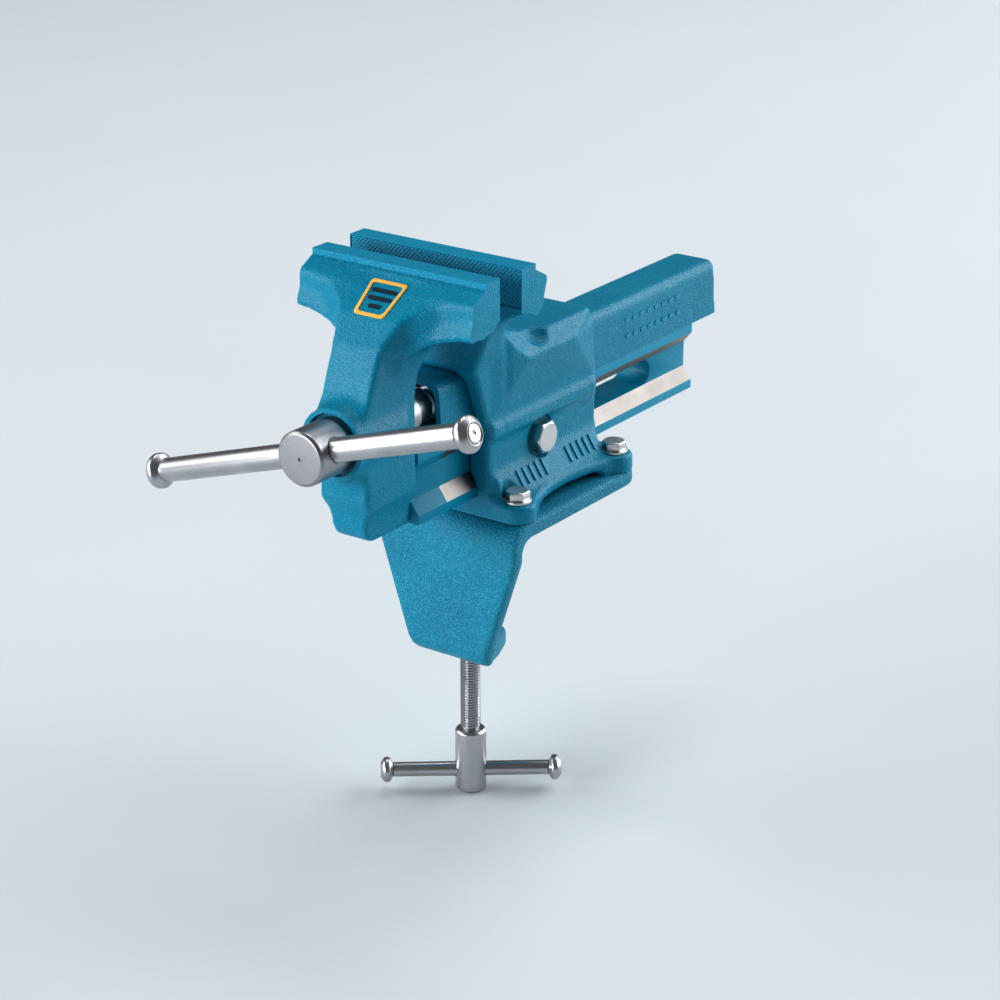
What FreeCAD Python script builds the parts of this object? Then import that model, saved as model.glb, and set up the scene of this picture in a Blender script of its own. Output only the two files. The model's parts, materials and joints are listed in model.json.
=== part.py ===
import FreeCAD, Part
import math
import os

import Sketcher
from FreeCAD import Placement, Rotation, Vector

# Bench vise on a screw clamp.  Millimetres, +Z up, +Y to the rear of the vise, X = 0 is
# the plane of symmetry and Z = 0 is the face that rests on the bench.  The fixed jaw and
# its body are bolted to the clamp; the moving jaw carries a prism rail, a spindle cover
# and the spindle, and slides towards -Y.

os.makedirs("parts", exist_ok=True)
doc = FreeCAD.newDocument("bench_vise")

SIZES = {
    # jaws
    "jaw_half": 60.0,            # half the jaw width
    "jaw_top": 171.3,            # height of the jaw tops
    "rear_face": 77.2,           # fixed jaw face, this far in front of the origin
    "jaw_gap": 20.6,             # opening between the jaw faces as posed
    "strip_depth": 13.3,         # flat top strip behind each face
    "strip_step": 3.65,
    "slope_run": 11.8,
    "slope_drop": 6.2,
    "face_height": 23.7,
    "tip_run": 15.8,
    "tip_drop": 31.4,
    "clearance": 0.3,            # running gap between sliding pieces
    # prism rail and spindle cover
    "rail_half": 17.1,
    "web_half": 11.2,
    "rail_bottom": 22.7,
    "lower_edge": 28.2,
    "lower_root": 36.5,
    "upper_root": 52.7,
    "upper_edge": 59.8,
    "rail_top": 66.2,
    "rail_rear": 171.8,
    "slot_rear": 131.6,
    "slot_front": 40.0,
    "tongue_gap": 0.4,           # each side of the nut tongue in the rail
    "cover_half": 18.4,
    "cover_top_half": 16.2,
    "cover_crown_half": 12.6,
    "cover_corner": 4.2,
    "cover_height": 34.8,
    "cover_front": 95.6,
    "cover_rear": 200.6,
    "cover_wall": 3.2,
    # moving jaw forging
    "neck_half": 17.0,
    "neck_rear": 117.0,
    "neck_front": 160.0,
    "hub_front": 172.0,
    "hub_radius": 21.0,
    "recess_radius": 18.2,
    "recess_depth": 3.6,
    "block_half": 12.0,
    "block_front": 160.0,
    "axis_z": 84.3,              # spindle axis above the bench face
    # fixed body
    "wall_half": 26.0,
    "shoulder_half": 34.0,
    "shoulder_z": 102.0,
    "shoulder_front": 31.0,      # the shoulder is widest from here
    "shoulder_rear": 14.0,       # to here
    "anvil_half": 26.0,
    "anvil_z": 112.6,
    "anvil_rear": 42.0,
    "anvil_front": 18.0,
    "neck_bend": 8.0,            # slope between the anvil and the jaw's neck
    "neck_foot": 4.0,            # the neck's front starts this far below the anvil
    "nose_extra": 1.5,           # the front of the body is this much wider than its walls
    "body_front": 62.0,
    "dimple": 12.0,              # ball hollow beside the anvil
    "dimple_front": 16.0,
    "body_rear": 49.5,
    "rib_half": 30.0,
    "rib_bottom": 60.0,
    "rib_height": 6.6,
    "slope_half": 37.0,          # foot of the slopes that rise from the flange to the walls
    "slope_high": 17.0,
    "waist_half": 38.0,          # the flange narrows to this between its lugs
    "waist_radius": 125.0,
    "flange_thick": 10.3,
    "relief_half": 34.0,
    "relief_high": 3.4,
    "bolt_x": 38.4,
    "bolt_y": 50.5,
    "lug_radius": 11.4,
    # base bolts and the cross bolt
    "base_bolt": 8.0,
    "base_washer": 8.4,
    "washer_thick": 1.6,
    "spot_gap": 0.6,             # spot face wider than the washer
    "base_head": 13.0,
    "base_head_high": 5.3,
    "cross_bolt": 12.0,
    "cross_head": 18.0,
    "cross_head_high": 7.5,
    "cross_y": 9.5,
    "seat_depth": 1.5,           # recess around the cross bolt head and nut
    "seat_gap": 4.0,             # its width around them
    "nut_stand": 10.0,           # bolt end beyond the wall
    # spindle and its handle
    "spindle_dia": 20.0,
    "spindle_rear": 165.0,
    "collar_dia": 27.0,
    "collar_long": 9.0,
    "pin_dia": 4.0,
    "head_dia": 31.8,
    "head_front": 199.7,
    "bar_dia": 14.0,
    "bar_long": 236.6,
    "bar_shift": 6.3,
    "bar_back": 185.5,
    "knob_dia": 20.6,
    "knob_long": 9.6,
    "nut_half": 12.6,
    "nut_long": 44.0,
    "tongue_wall": 3.0,          # nut tongue, in front of and behind the cross bolt
    "tongue_thick": 9.4,
    "tongue_bevel": 4.0,         # its lower corners clear the round ends of the slot
    # clamp
    "plate_thick": 10.7,
    "plate_rear": 62.0,
    "clamp_front": 69.8,
    "front_thick": 10.0,
    "bend_out": 15.0,
    "bend_in": 5.0,
    "taper_start": 12.0,
    "taper_half": 26.0,          # half width of the front plate at its lower end
    "arm_top": 72.0,
    "arm_thick": 12.5,
    "arm_bend": 12.0,
    "boss_radius": 22.0,
    "screw_y": 45.4,
    "clamp_thread": 12.0,
    "hub_dia": 19.0,
    "hub_top": 137.2,
    "hub_bottom": 177.7,
    "pad_dia": 26.0,
    "pad_top": 38.0,
    "pad_thick": 9.0,
    "clamp_bar": 9.0,
    "clamp_bar_long": 110.0,
    "clamp_bar_z": 165.0,
    "clamp_knob": 15.6,
    "clamp_knob_long": 7.8,
    # badge
    "badge_top": 25.0,
    "badge_low": 21.0,
    "badge_high": 25.5,
    "badge_line": 2.0,
    "badge_thick": 1.4,
    "badge_sunk": 0.8,           # of its thickness, let into the jaw
    "badge_run": 15.85,          # its middle, in front of the top strip
    "badge_fall": 14.9,          # and below the jaw top
    "badge_flat": 14.0,          # half width of the flat it sits on
}
BAR_TILT = 17.5                  # main handle, degrees above +X
CLAMP_BAR_TURN = 37.4            # clamp handle, degrees from +X towards +Y
BADGE_SLOPE = 33.2               # degrees below level
FLAT_RISE = 3.4                  # degrees by which the flats beside the badge rise outwards
FAR = 400.0                      # longer than the vise, for cuts that go right through
BORE_GAP = 0.05                  # radial gap around threads and pins

# Points of the cast outlines as (run, fall): run in front of the moving jaw's top strip,
# fall below the jaw top.
FRONT_SLOPE = ((5.3, 8.0), (26.4, 21.8), (38.0, 36.0))
NECK_FRONT = (45.5, 54.0)
# Points under the moving jaw's ends as (out, up): out from the neck's side, up from the
# spindle axis.
JAW_ARCH = ((-2.0, 26.0), (0.0, 30.0), (5.0, 43.0), (14.0, 50.0), (24.0, 53.5))
JAW_ARCH_END = 58.0              # height of the arch at the jaw's end
# Points under the fixed jaw's ends as (out, down): out from the body's nose, down from the
# foot of the jaw.
JAW_WEB = ((6.0, 21.0), (9.5, 11.0), (17.0, 3.0))


class Size:
    """A length that carries its number and the sheet formula that gives it."""

    def __init__(self, value, text=None):
        self.value = float(value)
        self.text = text if text else repr(float(value))

    def __add__(self, other):
        other = as_size(other)
        return Size(self.value + other.value, "(%s + %s)" % (self.text, other.text))

    def __sub__(self, other):
        other = as_size(other)
        return Size(self.value - other.value, "(%s - %s)" % (self.text, other.text))

    def __mul__(self, factor):
        return Size(self.value * factor, "(%s * %r)" % (self.text, float(factor)))

    def __neg__(self):
        return Size(-self.value, "(0 - %s)" % self.text)

    __radd__ = __add__
    __rmul__ = __mul__

    def __rsub__(self, other):
        return as_size(other) - self


def as_size(item):
    return item if isinstance(item, Size) else Size(item)


sheet = doc.addObject("Spreadsheet::Sheet", "Sizes")
for row, (alias, number) in enumerate(SIZES.items(), start=1):
    sheet.set("A%d" % row, alias)
    sheet.set("B%d" % row, str(number))
    sheet.setAlias("B%d" % row, alias)
doc.recompute()


class Sheet:
    """Gives each named length as a Size, for example S.jaw_top."""

    def __getattr__(self, alias):
        return Size(SIZES[alias], "Sizes.%s" % alias)


S = Sheet()
ROLES = {"XY": "XY_Plane", "XZ": "XZ_Plane", "YZ": "YZ_Plane"}


def bind(item, prop, size):
    """Set a property and tie it to the sheet."""
    size = as_size(size)
    item.setExpression(prop, size.text)


def place(item, x=0.0, y=0.0, z=0.0, rotation=None):
    """Put an object at a bound position, turned by a fixed rotation."""
    item.Placement = Placement(Vector(0, 0, 0), rotation or Rotation())
    for axis, size in (("x", x), ("y", y), ("z", z)):
        bind(item, "Placement.Base.%s" % axis, size)
    return item


def plane_of(body, key):
    for feature in body.Origin.OriginFeatures:
        if getattr(feature, "Role", "") == ROLES[key]:
            return feature
    raise ValueError(key)


def add_sketch(body, name, key, outline=(), circles=(), offset=None):
    """A closed outline and circles on a plane of the body, every point tied to the sheet."""
    sketch = body.newObject("Sketcher::SketchObject", name)
    sketch.AttachmentSupport = [(plane_of(body, key), "")]
    sketch.MapMode = "FlatFace"
    if offset is not None:
        bind(sketch, "AttachmentOffset.Base.z", offset)
    points = [(as_size(u), as_size(v)) for u, v in outline]
    corners = [Vector(u.value, v.value, 0) for u, v in points]
    count = len(corners)
    for index in range(count):
        sketch.addGeometry(Part.LineSegment(corners[index], corners[(index + 1) % count]))
    for index in range(count):
        sketch.addConstraint(
            Sketcher.Constraint("Coincident", index, 2, (index + 1) % count, 1))
    for index, (u, v) in enumerate(points):
        tie_point(sketch, index, 1, u, v)
    for u, v, radius in circles:
        u, v, radius = as_size(u), as_size(v), as_size(radius)
        number = sketch.addGeometry(
            Part.Circle(Vector(u.value, v.value, 0), Vector(0, 0, 1), radius.value))
        tie_point(sketch, number, 3, u, v)
        spot = sketch.addConstraint(Sketcher.Constraint("Radius", number, radius.value))
        sketch.setExpression("Constraints[%d]" % spot, radius.text)
    return sketch


def tie_point(sketch, number, end, u, v):
    for kind, size in (("DistanceX", u), ("DistanceY", v)):
        spot = sketch.addConstraint(
            Sketcher.Constraint(kind, -1, 1, number, end, size.value))
        sketch.setExpression("Constraints[%d]" % spot, size.text)


def new_body(name):
    return doc.addObject("PartDesign::Body", name)


def pad(body, name, key, length, outline=(), circles=(), offset=None, both=False, back=False):
    """Pad an outline; both = half the length to each side, back = against the normal."""
    sketch = add_sketch(body, name + "_sketch", key, outline, circles, offset)
    feature = body.newObject("PartDesign::Pad", name)
    feature.Profile = sketch
    bind(feature, "Length", length)
    if both:
        feature.SideType = "Symmetric"
    feature.Reversed = back
    body.Tip = feature
    doc.recompute()
    return feature


def pocket(body, name, key, outline=(), circles=(), both=True):
    """Cut an outline right through the body, to both sides of its plane or one."""
    before = body.Shape.Volume
    sketch = add_sketch(body, name + "_sketch", key, outline, circles)
    feature = body.newObject("PartDesign::Pocket", name)
    feature.Profile = sketch
    feature.Type = "ThroughAll"
    if both:
        feature.SideType = "Symmetric"
    body.Tip = feature
    doc.recompute()
    if not both and body.Shape.Volume > before - 0.01:
        feature.Reversed = True
        doc.recompute()
    return feature


def turn(body, name, outline, axis="Y"):
    """Revolve an outline drawn in the YZ plane (first value along Y) about Y or Z."""
    sketch = add_sketch(body, name + "_sketch", "YZ", outline)
    feature = body.newObject("PartDesign::Revolution", name)
    feature.Profile = sketch
    feature.ReferenceAxis = (sketch, ["H_Axis" if axis == "Y" else "V_Axis"])
    feature.Angle = 360.0
    body.Tip = feature
    doc.recompute()
    return feature


def round_edges(body, name, radius, wanted):
    """Fillet the edges of the tip whose middle point passes the test."""
    tip = body.Tip
    names = []
    for number, edge in enumerate(tip.Shape.Edges, start=1):
        middle = edge.valueAt((edge.FirstParameter + edge.LastParameter) / 2)
        if wanted(middle, edge):
            names.append("Edge%d" % number)
    feature = body.newObject("PartDesign::Fillet", name)
    feature.Base = (tip, names)
    bind(feature, "Radius", radius)
    body.Tip = feature
    doc.recompute()
    return feature


def near(value, size, slack=0.05):
    return abs(value - as_size(size).value) < slack


def prism(name, key, length, outline, offset=None, both=False, back=False):
    body = new_body(name)
    pad(body, name + "_pad", key, length, outline, offset=offset, both=both, back=back)
    return body


def cylinder(name, radius, height, x=0.0, y=0.0, z=0.0, rotation=None):
    item = doc.addObject("Part::Cylinder", name)
    bind(item, "Radius", radius)
    bind(item, "Height", height)
    return place(item, x, y, z, rotation)


def box(name, length, width, height, x=0.0, y=0.0, z=0.0):
    item = doc.addObject("Part::Box", name)
    bind(item, "Length", length)
    bind(item, "Width", width)
    bind(item, "Height", height)
    return place(item, x, y, z)


def fuse(name, items):
    item = doc.addObject("Part::MultiFuse", name)
    item.Shapes = items
    item.Refine = True
    doc.recompute()
    return item


def common(name, items):
    item = doc.addObject("Part::MultiCommon", name)
    item.Shapes = items
    doc.recompute()
    return item


def cut(name, base, tool):
    item = doc.addObject("Part::Cut", name)
    item.Base = base
    item.Tool = tool
    item.Refine = True
    doc.recompute()
    return item


def mirror_x(points):
    """Close a half outline given from bottom to top on the +X side."""
    return list(points) + [(-as_size(u), v) for u, v in reversed(points)]


ALONG_Y = Rotation(Vector(1, 0, 0), -90)     # turns +Z to +Y
ALONG_X = Rotation(Vector(0, 1, 0), 90)      # turns +Z to +X
nodes = {}


def keep(name, item):
    """Record a finished piece under its node name."""
    item.Label = name
    nodes[name] = item
    return item


def bolt_spots():
    """Number and place of each base bolt."""
    spots = [(x_side, y_side) for y_side in (1, -1) for x_side in (1, -1)]
    for number, (x_side, y_side) in enumerate(spots, start=1):
        yield number, S.bolt_x * x_side, S.bolt_y * y_side


front_face = S.rear_face + S.jaw_gap                   # moving jaw face, towards -Y
flange_top = S.plate_thick + S.flange_thick
cover_top = S.rail_top + S.cover_height
cross_z = S.upper_root - S.clearance - S.cross_bolt * 0.5
tongue_long = S.cross_bolt + S.tongue_wall * 2
tongue_low = S.lower_root + 1.0


# ---------------------------------------------------------------- clamp
def make_clamp_frame():
    half = S.bolt_x + S.lug_radius
    body = new_body("clamp_frame_body")
    back_of_front = S.clamp_front - S.front_thick
    arm_end = S.screw_y - S.boss_radius
    pad(body, "c_section", "YZ", half * 2, [
        (-S.clamp_front, -(S.arm_top + S.arm_thick)), (-arm_end, -(S.arm_top + S.arm_thick)),
        (-arm_end, -S.arm_top), (-back_of_front, -S.arm_top), (-back_of_front, 0),
        (S.plate_rear, 0), (S.plate_rear, S.plate_thick), (-S.clamp_front, S.plate_thick),
    ], both=True)

    def across(edge):
        return abs(edge.tangentAt(edge.FirstParameter).x) > 0.99

    arm_low = -(S.arm_top + S.arm_thick)
    round_edges(body, "top_bend", S.bend_out,
                lambda p, e: across(e) and near(p.y, -S.clamp_front) and near(p.z, S.plate_thick))
    round_edges(body, "low_bend", S.arm_bend,
                lambda p, e: across(e) and near(p.y, -S.clamp_front) and near(p.z, arm_low))
    round_edges(body, "inner_bends", S.bend_in,
                lambda p, e: across(e) and near(p.y, -back_of_front))
    # the front plate narrows downwards
    wide = half + 20
    foot = S.arm_top + S.arm_thick
    for side, name in ((1, "right"), (-1, "left")):
        pocket(body, "taper_" + name, "XZ", [
            (half * side, -S.taper_start), (S.taper_half * side, -foot),
            (S.taper_half * side, -(foot + 20)), (wide * side, -(foot + 20)),
            (wide * side, -S.taper_start)])
    # the lower arm narrows to a round boss under the bench
    pocket(body, "arm_outline", "XY", [
        (-wide, -back_of_front), (-(S.boss_radius + 4), -back_of_front),
        (-S.boss_radius, -S.screw_y), (-S.boss_radius * 0.71, -(S.screw_y - S.boss_radius * 0.71)),
        (-S.boss_radius * 0.26, -(S.screw_y - S.boss_radius * 0.966)),
        (S.boss_radius * 0.26, -(S.screw_y - S.boss_radius * 0.966)),
        (S.boss_radius * 0.71, -(S.screw_y - S.boss_radius * 0.71)),
        (S.boss_radius, -S.screw_y), (S.boss_radius + 4, -back_of_front),
        (wide, -back_of_front), (wide, -arm_end + 5), (-wide, -arm_end + 5)], both=False)
    tools = [cylinder("clamp_thread_bore", S.clamp_thread * 0.5 + BORE_GAP, S.arm_thick + 2,
                      0, -S.screw_y, -(S.arm_top + S.arm_thick + 1))]
    for number, x, y in bolt_spots():
        tools.append(cylinder("plate_bore_%d" % number, S.base_bolt * 0.5 + BORE_GAP,
                              S.plate_thick + 2, x, y, -1))
    for x_side, name in ((1, "right"), (-1, "left")):
        tools.append(plate_corner(name, x_side))
    frame = cut("clamp_frame_cut", body, fuse("clamp_frame_tools", tools))
    return keep("clamp_frame", frame)


def plate_corner(name, side):
    """The material outside the rounded rear corner of the top plate."""
    reach = S.lug_radius
    blank = box("corner_blank_" + name, reach + 2, S.plate_rear - S.bolt_y + 2, S.plate_thick + 4,
                S.bolt_x if side > 0 else -(S.bolt_x + reach + 2), S.bolt_y, -2)
    disc = cylinder("corner_disc_" + name, reach, S.plate_thick + 4,
                    S.bolt_x * side, S.bolt_y, -2)
    return cut("corner_" + name, blank, disc)


# ---------------------------------------------------------------- fixed body
def jaw_outline(face, way):
    """Side outline of a jaw block; way is -1 when it reaches towards -Y from its face."""
    face = as_size(face)

    def out(run):
        return face + as_size(run) * way

    return [
        (out(0), S.jaw_top - S.face_height), (out(0), S.jaw_top),
        (out(S.strip_depth), S.jaw_top), (out(S.strip_depth), S.jaw_top - S.strip_step),
        (out(S.strip_depth + S.slope_run), S.jaw_top - S.strip_step - S.slope_drop),
        (out(S.strip_depth + S.slope_run - 3), S.jaw_top - S.strip_step - S.slope_drop - 9.5),
        (out(S.tip_run), S.jaw_top - S.tip_drop)]


def guide_outline(gap):
    """Front outline of the rail and cover passage, opened out by a gap."""
    gap = as_size(gap)
    return mirror_x([
        (S.rail_half + gap, S.rail_bottom - gap), (S.rail_half + gap, S.lower_edge + gap * 0.4),
        (S.web_half + gap, S.lower_root + gap * 0.4),
        (S.web_half + gap, S.upper_root - gap * 0.4),
        (S.rail_half + gap, S.upper_edge - gap * 0.4), (S.rail_half + gap, S.rail_top - gap),
        (S.cover_half + gap * 1.1, S.rail_top - gap),
        (S.cover_top_half + gap, cover_top - S.cover_corner + gap * 0.5),
        (S.cover_crown_half + gap, cover_top + gap)])


def base_flange():
    """Plate between the lugs, with its sides curved in to a waist."""
    reach = S.bolt_x + S.lug_radius
    middle = box("flange_middle", S.bolt_x * 2, (S.bolt_y + S.lug_radius) * 2, S.flange_thick,
                 -S.bolt_x, -(S.bolt_y + S.lug_radius), S.plate_thick)
    wings = box("flange_wings", reach * 2, S.bolt_y * 2, S.flange_thick,
                -reach, -S.bolt_y, S.plate_thick)
    arcs = [cylinder("waist_" + name, S.waist_radius, S.flange_thick + 2,
                     (S.waist_half + S.waist_radius) * side, 0, S.plate_thick - 1)
            for side, name in ((1, "right"), (-1, "left"))]
    return cut("flange_plate", fuse("flange_blank", [middle, wings]), fuse("flange_arcs", arcs))


def make_vise_body():
    pieces = []
    jaw_y = -S.rear_face
    neck_y = jaw_y + S.strip_depth + S.slope_run       # rear of the jaw's neck
    jaw_foot = S.jaw_top - S.tip_drop
    inside_jaw = S.jaw_top - S.face_height + 6         # a height well inside the jaw
    pieces.append(prism("fixed_jaw_block", "YZ", S.jaw_half * 2, jaw_outline(jaw_y, 1), both=True))
    # central column: base, walls and anvil
    pieces.append(prism("body_column", "YZ", S.wall_half * 2, [
        (-S.body_front, S.plate_thick), (S.body_rear, S.plate_thick),
        (S.body_rear, S.rail_top), (S.anvil_rear, S.anvil_z), (-S.anvil_front, S.anvil_z),
        (neck_y + S.neck_bend, S.anvil_z + S.neck_bend), (neck_y, jaw_foot),
        (neck_y, inside_jaw), (jaw_y, inside_jaw),
        (jaw_y, S.anvil_z - S.neck_foot), (-S.body_front, S.rib_bottom)], both=True))
    # shoulders beside the anvil, narrowing down to the walls and to the front
    nose = S.wall_half + S.nose_extra
    side = prism("shoulder_front_view", "XZ", FAR, mirror_x([
        (S.wall_half - 1, S.rib_bottom), (S.shoulder_half, S.shoulder_z),
        (S.shoulder_half, jaw_foot - 8), (S.shoulder_half + 6, jaw_foot + 2)]), both=True)
    profile = prism("shoulder_side_view", "YZ", S.jaw_half * 2, [
        (-S.body_front, S.rib_bottom), (S.body_rear, S.rib_bottom),
        (S.anvil_rear, S.shoulder_z), (-S.shoulder_front, S.shoulder_z),
        (-S.shoulder_front - 19, S.shoulder_z + 19),
        (neck_y - 6, jaw_foot + 6), (jaw_y, jaw_foot + 6),
        (jaw_y, S.anvil_z - S.neck_foot)], both=True)
    plan = prism("shoulder_plan_view", "XY", FAR, [
        (-nose, -S.body_front), (-nose, -(S.rear_face + 2)),
        (nose, -(S.rear_face + 2)), (nose, -S.body_front),
        (S.shoulder_half, -S.shoulder_front), (S.shoulder_half, S.shoulder_rear),
        (S.wall_half, S.body_rear), (-S.wall_half, S.body_rear),
        (-S.shoulder_half, S.shoulder_rear), (-S.shoulder_half, -S.shoulder_front)])
    pieces.append(common("shoulders", [side, profile, plan]))
    # sloping tops of the shoulders, from the anvil edge down to the side
    slopes = prism("slope_front_view", "XZ", FAR, mirror_x([
        (S.shoulder_half - 3, S.shoulder_z - 14), (S.shoulder_half, S.shoulder_z),
        (S.anvil_half, S.anvil_z)]), both=True)
    slope_plan = prism("slope_plan_view", "XY", FAR, mirror_x([
        (S.shoulder_half, -S.shoulder_front), (S.shoulder_half, S.shoulder_rear),
        (S.anvil_half, S.anvil_rear)]))
    pieces.append(common("shoulder_slopes", [slopes, slope_plan]))
    # webs under the overhanging jaw ends
    web_points = [(nose + out, jaw_foot - down) for out, down in JAW_WEB]
    pieces.append(prism("jaw_webs", "XZ", neck_y - jaw_y - 4, mirror_x(
        [(nose, S.shoulder_z + 2)] + web_points
        + [(S.jaw_half, jaw_foot + 5), (S.jaw_half, inside_jaw - 2)]),
        offset=S.rear_face, back=True))
    # guide ribs, base slopes and base flange
    pieces.append(box("guide_ribs", S.rib_half * 2, S.body_front + S.body_rear - 6, S.rib_height,
                      -S.rib_half, -S.body_front, S.rib_bottom))
    pieces.append(prism("base_slopes", "XZ", S.body_front + S.body_rear - 10, mirror_x([
        (S.slope_half, flange_top - 2), (S.slope_half, flange_top),
        (S.wall_half, flange_top + S.slope_high)]), offset=S.body_front - 5, back=True))
    pieces.append(base_flange())
    tools = []
    for number, x, y in bolt_spots():
        pieces.append(cylinder("lug_%d" % number, S.lug_radius, S.flange_thick,
                               x, y, S.plate_thick))
        tools.append(cylinder("lug_bore_%d" % number, S.base_bolt * 0.5 + S.clearance,
                              S.flange_thick + 2, x, y, S.plate_thick - 1))
        tools.append(cylinder("spot_face_%d" % number, S.base_washer + S.spot_gap, FAR,
                              x, y, flange_top))
    tools.append(prism("guide_passage", "XZ", FAR, guide_outline(S.clearance), both=True))
    tools.append(box("foot_relief", FAR, S.relief_half * 2, S.relief_high + 1,
                     -FAR / 2, -S.relief_half, S.plate_thick - 1))
    tools.append(cylinder("cross_bore", S.cross_bolt * 0.5 + BORE_GAP, S.wall_half * 4,
                          -S.wall_half * 2, -S.cross_y, cross_z, ALONG_X))
    seat = S.wall_half - S.seat_depth
    for name, x in (("cross_seat", seat), ("cross_nut_seat", -(seat + S.wall_half))):
        tools.append(cylinder(name, S.cross_head * 0.5 + S.seat_gap, S.wall_half,
                              x, -S.cross_y, cross_z, ALONG_X))
    for side, name in ((1, "right"), (-1, "left")):
        dimple = doc.addObject("Part::Sphere", "shoulder_dimple_" + name)
        bind(dimple, "Radius", S.dimple)
        tools.append(place(dimple, (S.anvil_half + 4) * side, -S.dimple_front, S.anvil_z + 4.5))
    blank = fuse("vise_body_blank", pieces)
    return keep("vise_body", cut("vise_body_cut", blank, fuse("vise_body_tools", tools)))


# ---------------------------------------------------------------- bolts
def hexagon(across_flats):
    """Corner points of a hexagon about the origin, flats facing the first axis."""
    radius = as_size(across_flats) * (1 / math.sqrt(3))
    return [(radius * math.cos(math.radians(30 + 60 * k)),
             radius * math.sin(math.radians(30 + 60 * k))) for k in range(6)]


def make_base_bolts():
    bolts, washers = [], []
    seat = flange_top + S.washer_thick
    low = 2.0                    # the bolts end this far above the bench face
    for number, x, y in bolt_spots():
        head = new_body("base_head_%d" % number)
        pad(head, "base_hex_%d" % number, "XY", S.base_head_high, hexagon(S.base_head))
        place(head, x, y, seat)
        shank = cylinder("base_shank_%d" % number, S.base_bolt * 0.5, seat - low, x, y, low)
        bolts.append(fuse("base_bolt_%d" % number, [head, shank]))
        disc = cylinder("washer_disc_%d" % number, S.base_washer, S.washer_thick,
                        x, y, flange_top)
        hole = cylinder("washer_hole_%d" % number, S.base_bolt * 0.5 + 0.2,
                        S.washer_thick + 2, x, y, flange_top - 1)
        washers.append(cut("washer_%d" % number, disc, hole))
    for name, items in (("base_bolts", bolts), ("base_washers", washers)):
        group = doc.addObject("Part::Compound", name + "_set")
        group.Links = items
        keep(name, group)
    doc.recompute()


def make_cross_bolt():
    """Cross bolt that holds the spindle nut: head at +X, nut at -X."""
    head = new_body("cross_head_body")
    pad(head, "cross_hex", "XY", S.cross_head_high, hexagon(S.cross_head))
    place(head, S.wall_half - S.seat_depth, -S.cross_y, cross_z, ALONG_X)
    shank = cylinder("cross_shank", S.cross_bolt * 0.5, S.wall_half * 2 + S.nut_stand,
                     -(S.wall_half + S.nut_stand), -S.cross_y, cross_z, ALONG_X)
    keep("adjusting_bolt", fuse("adjusting_bolt_fuse", [head, shank]))
    nut = new_body("cross_nut_body")
    pad(nut, "cross_nut_hex", "XY", S.cross_head_high + 1, hexagon(S.cross_head),
        [(0, 0, S.cross_bolt * 0.5 + BORE_GAP)])
    place(nut, -(S.wall_half - S.seat_depth + S.cross_head_high + 1), -S.cross_y, cross_z, ALONG_X)
    keep("adjusting_nut", nut)


def make_spindle_nut():
    """Square nut riding in the cover, with a tongue down through the rail."""
    front = S.cross_y + S.nut_long * 0.5
    low = S.rail_top + 0.6
    block = box("nut_block", S.nut_half * 2, S.nut_long, S.cover_height - S.cover_wall - 1.6,
                -S.nut_half, -front, low)
    tongue_front = -(S.cross_y + tongue_long * 0.5)
    tongue_rear = tongue_front + tongue_long
    tongue = prism("nut_tongue", "YZ", S.tongue_thick, [
        (tongue_front + S.tongue_bevel, tongue_low), (tongue_rear - S.tongue_bevel, tongue_low),
        (tongue_rear, tongue_low + S.tongue_bevel), (tongue_rear, low + 2),
        (tongue_front, low + 2), (tongue_front, tongue_low + S.tongue_bevel)], both=True)
    tools = [
        cylinder("nut_thread", S.spindle_dia * 0.5 + BORE_GAP, S.nut_long + 2, 0, -front - 1,
                 S.axis_z, ALONG_Y),
        cylinder("nut_cross_bore", S.cross_bolt * 0.5 + BORE_GAP, S.tongue_thick + 2,
                 -(S.tongue_thick * 0.5 + 1), -S.cross_y, cross_z, ALONG_X)]
    edge = S.nut_half - 9.0
    for side, name in ((1, "right"), (-1, "left")):
        tools.append(prism("nut_corner_" + name, "XZ", FAR, [
            (S.nut_half * side + side, cover_top - S.cover_wall - 8),
            (S.nut_half * side + side, cover_top), (edge * side, cover_top)], both=True))
    blank = fuse("nut_blank", [block, tongue])
    keep("spindle_nut", cut("spindle_nut_cut", blank, fuse("nut_tools", tools)))


# ---------------------------------------------------------------- moving jaw
def front_line(top_y):
    """Side outline of the sloping front, from the jaw's top strip down to the neck."""
    return [(top_y, S.jaw_top - S.strip_step)] + [
        (top_y - run, S.jaw_top - fall) for run, fall in FRONT_SLOPE]


def badge_flats(top_y):
    """What is cleared above the flat under the badge and above the two beside it."""
    lean = Rotation(Vector(1, 0, 0), BADGE_SLOPE)
    low, high, thick = 16.0, 18.2, 20.0    # reach down and up the slope, and above it
    side = (S.jaw_half - S.badge_flat).value
    flat = S.badge_flat.value
    items = []
    for name, x, start, wide, rise in (
            ("badge_flat_middle", 0.0, -flat, flat * 2, 0.0),
            ("badge_flat_right", flat, 0.0, side, -FLAT_RISE),
            ("badge_flat_left", -flat, -side, side, FLAT_RISE)):
        turned = lean * Rotation(Vector(0, 1, 0), rise)
        corner = turned * Vector(start, -low, 0)
        tool = box(name, wide, low + high, thick)
        items.append(place(tool, corner.x + x, top_y - S.badge_run + corner.y,
                           S.jaw_top - S.badge_fall + corner.z, turned))
    return items


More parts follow.
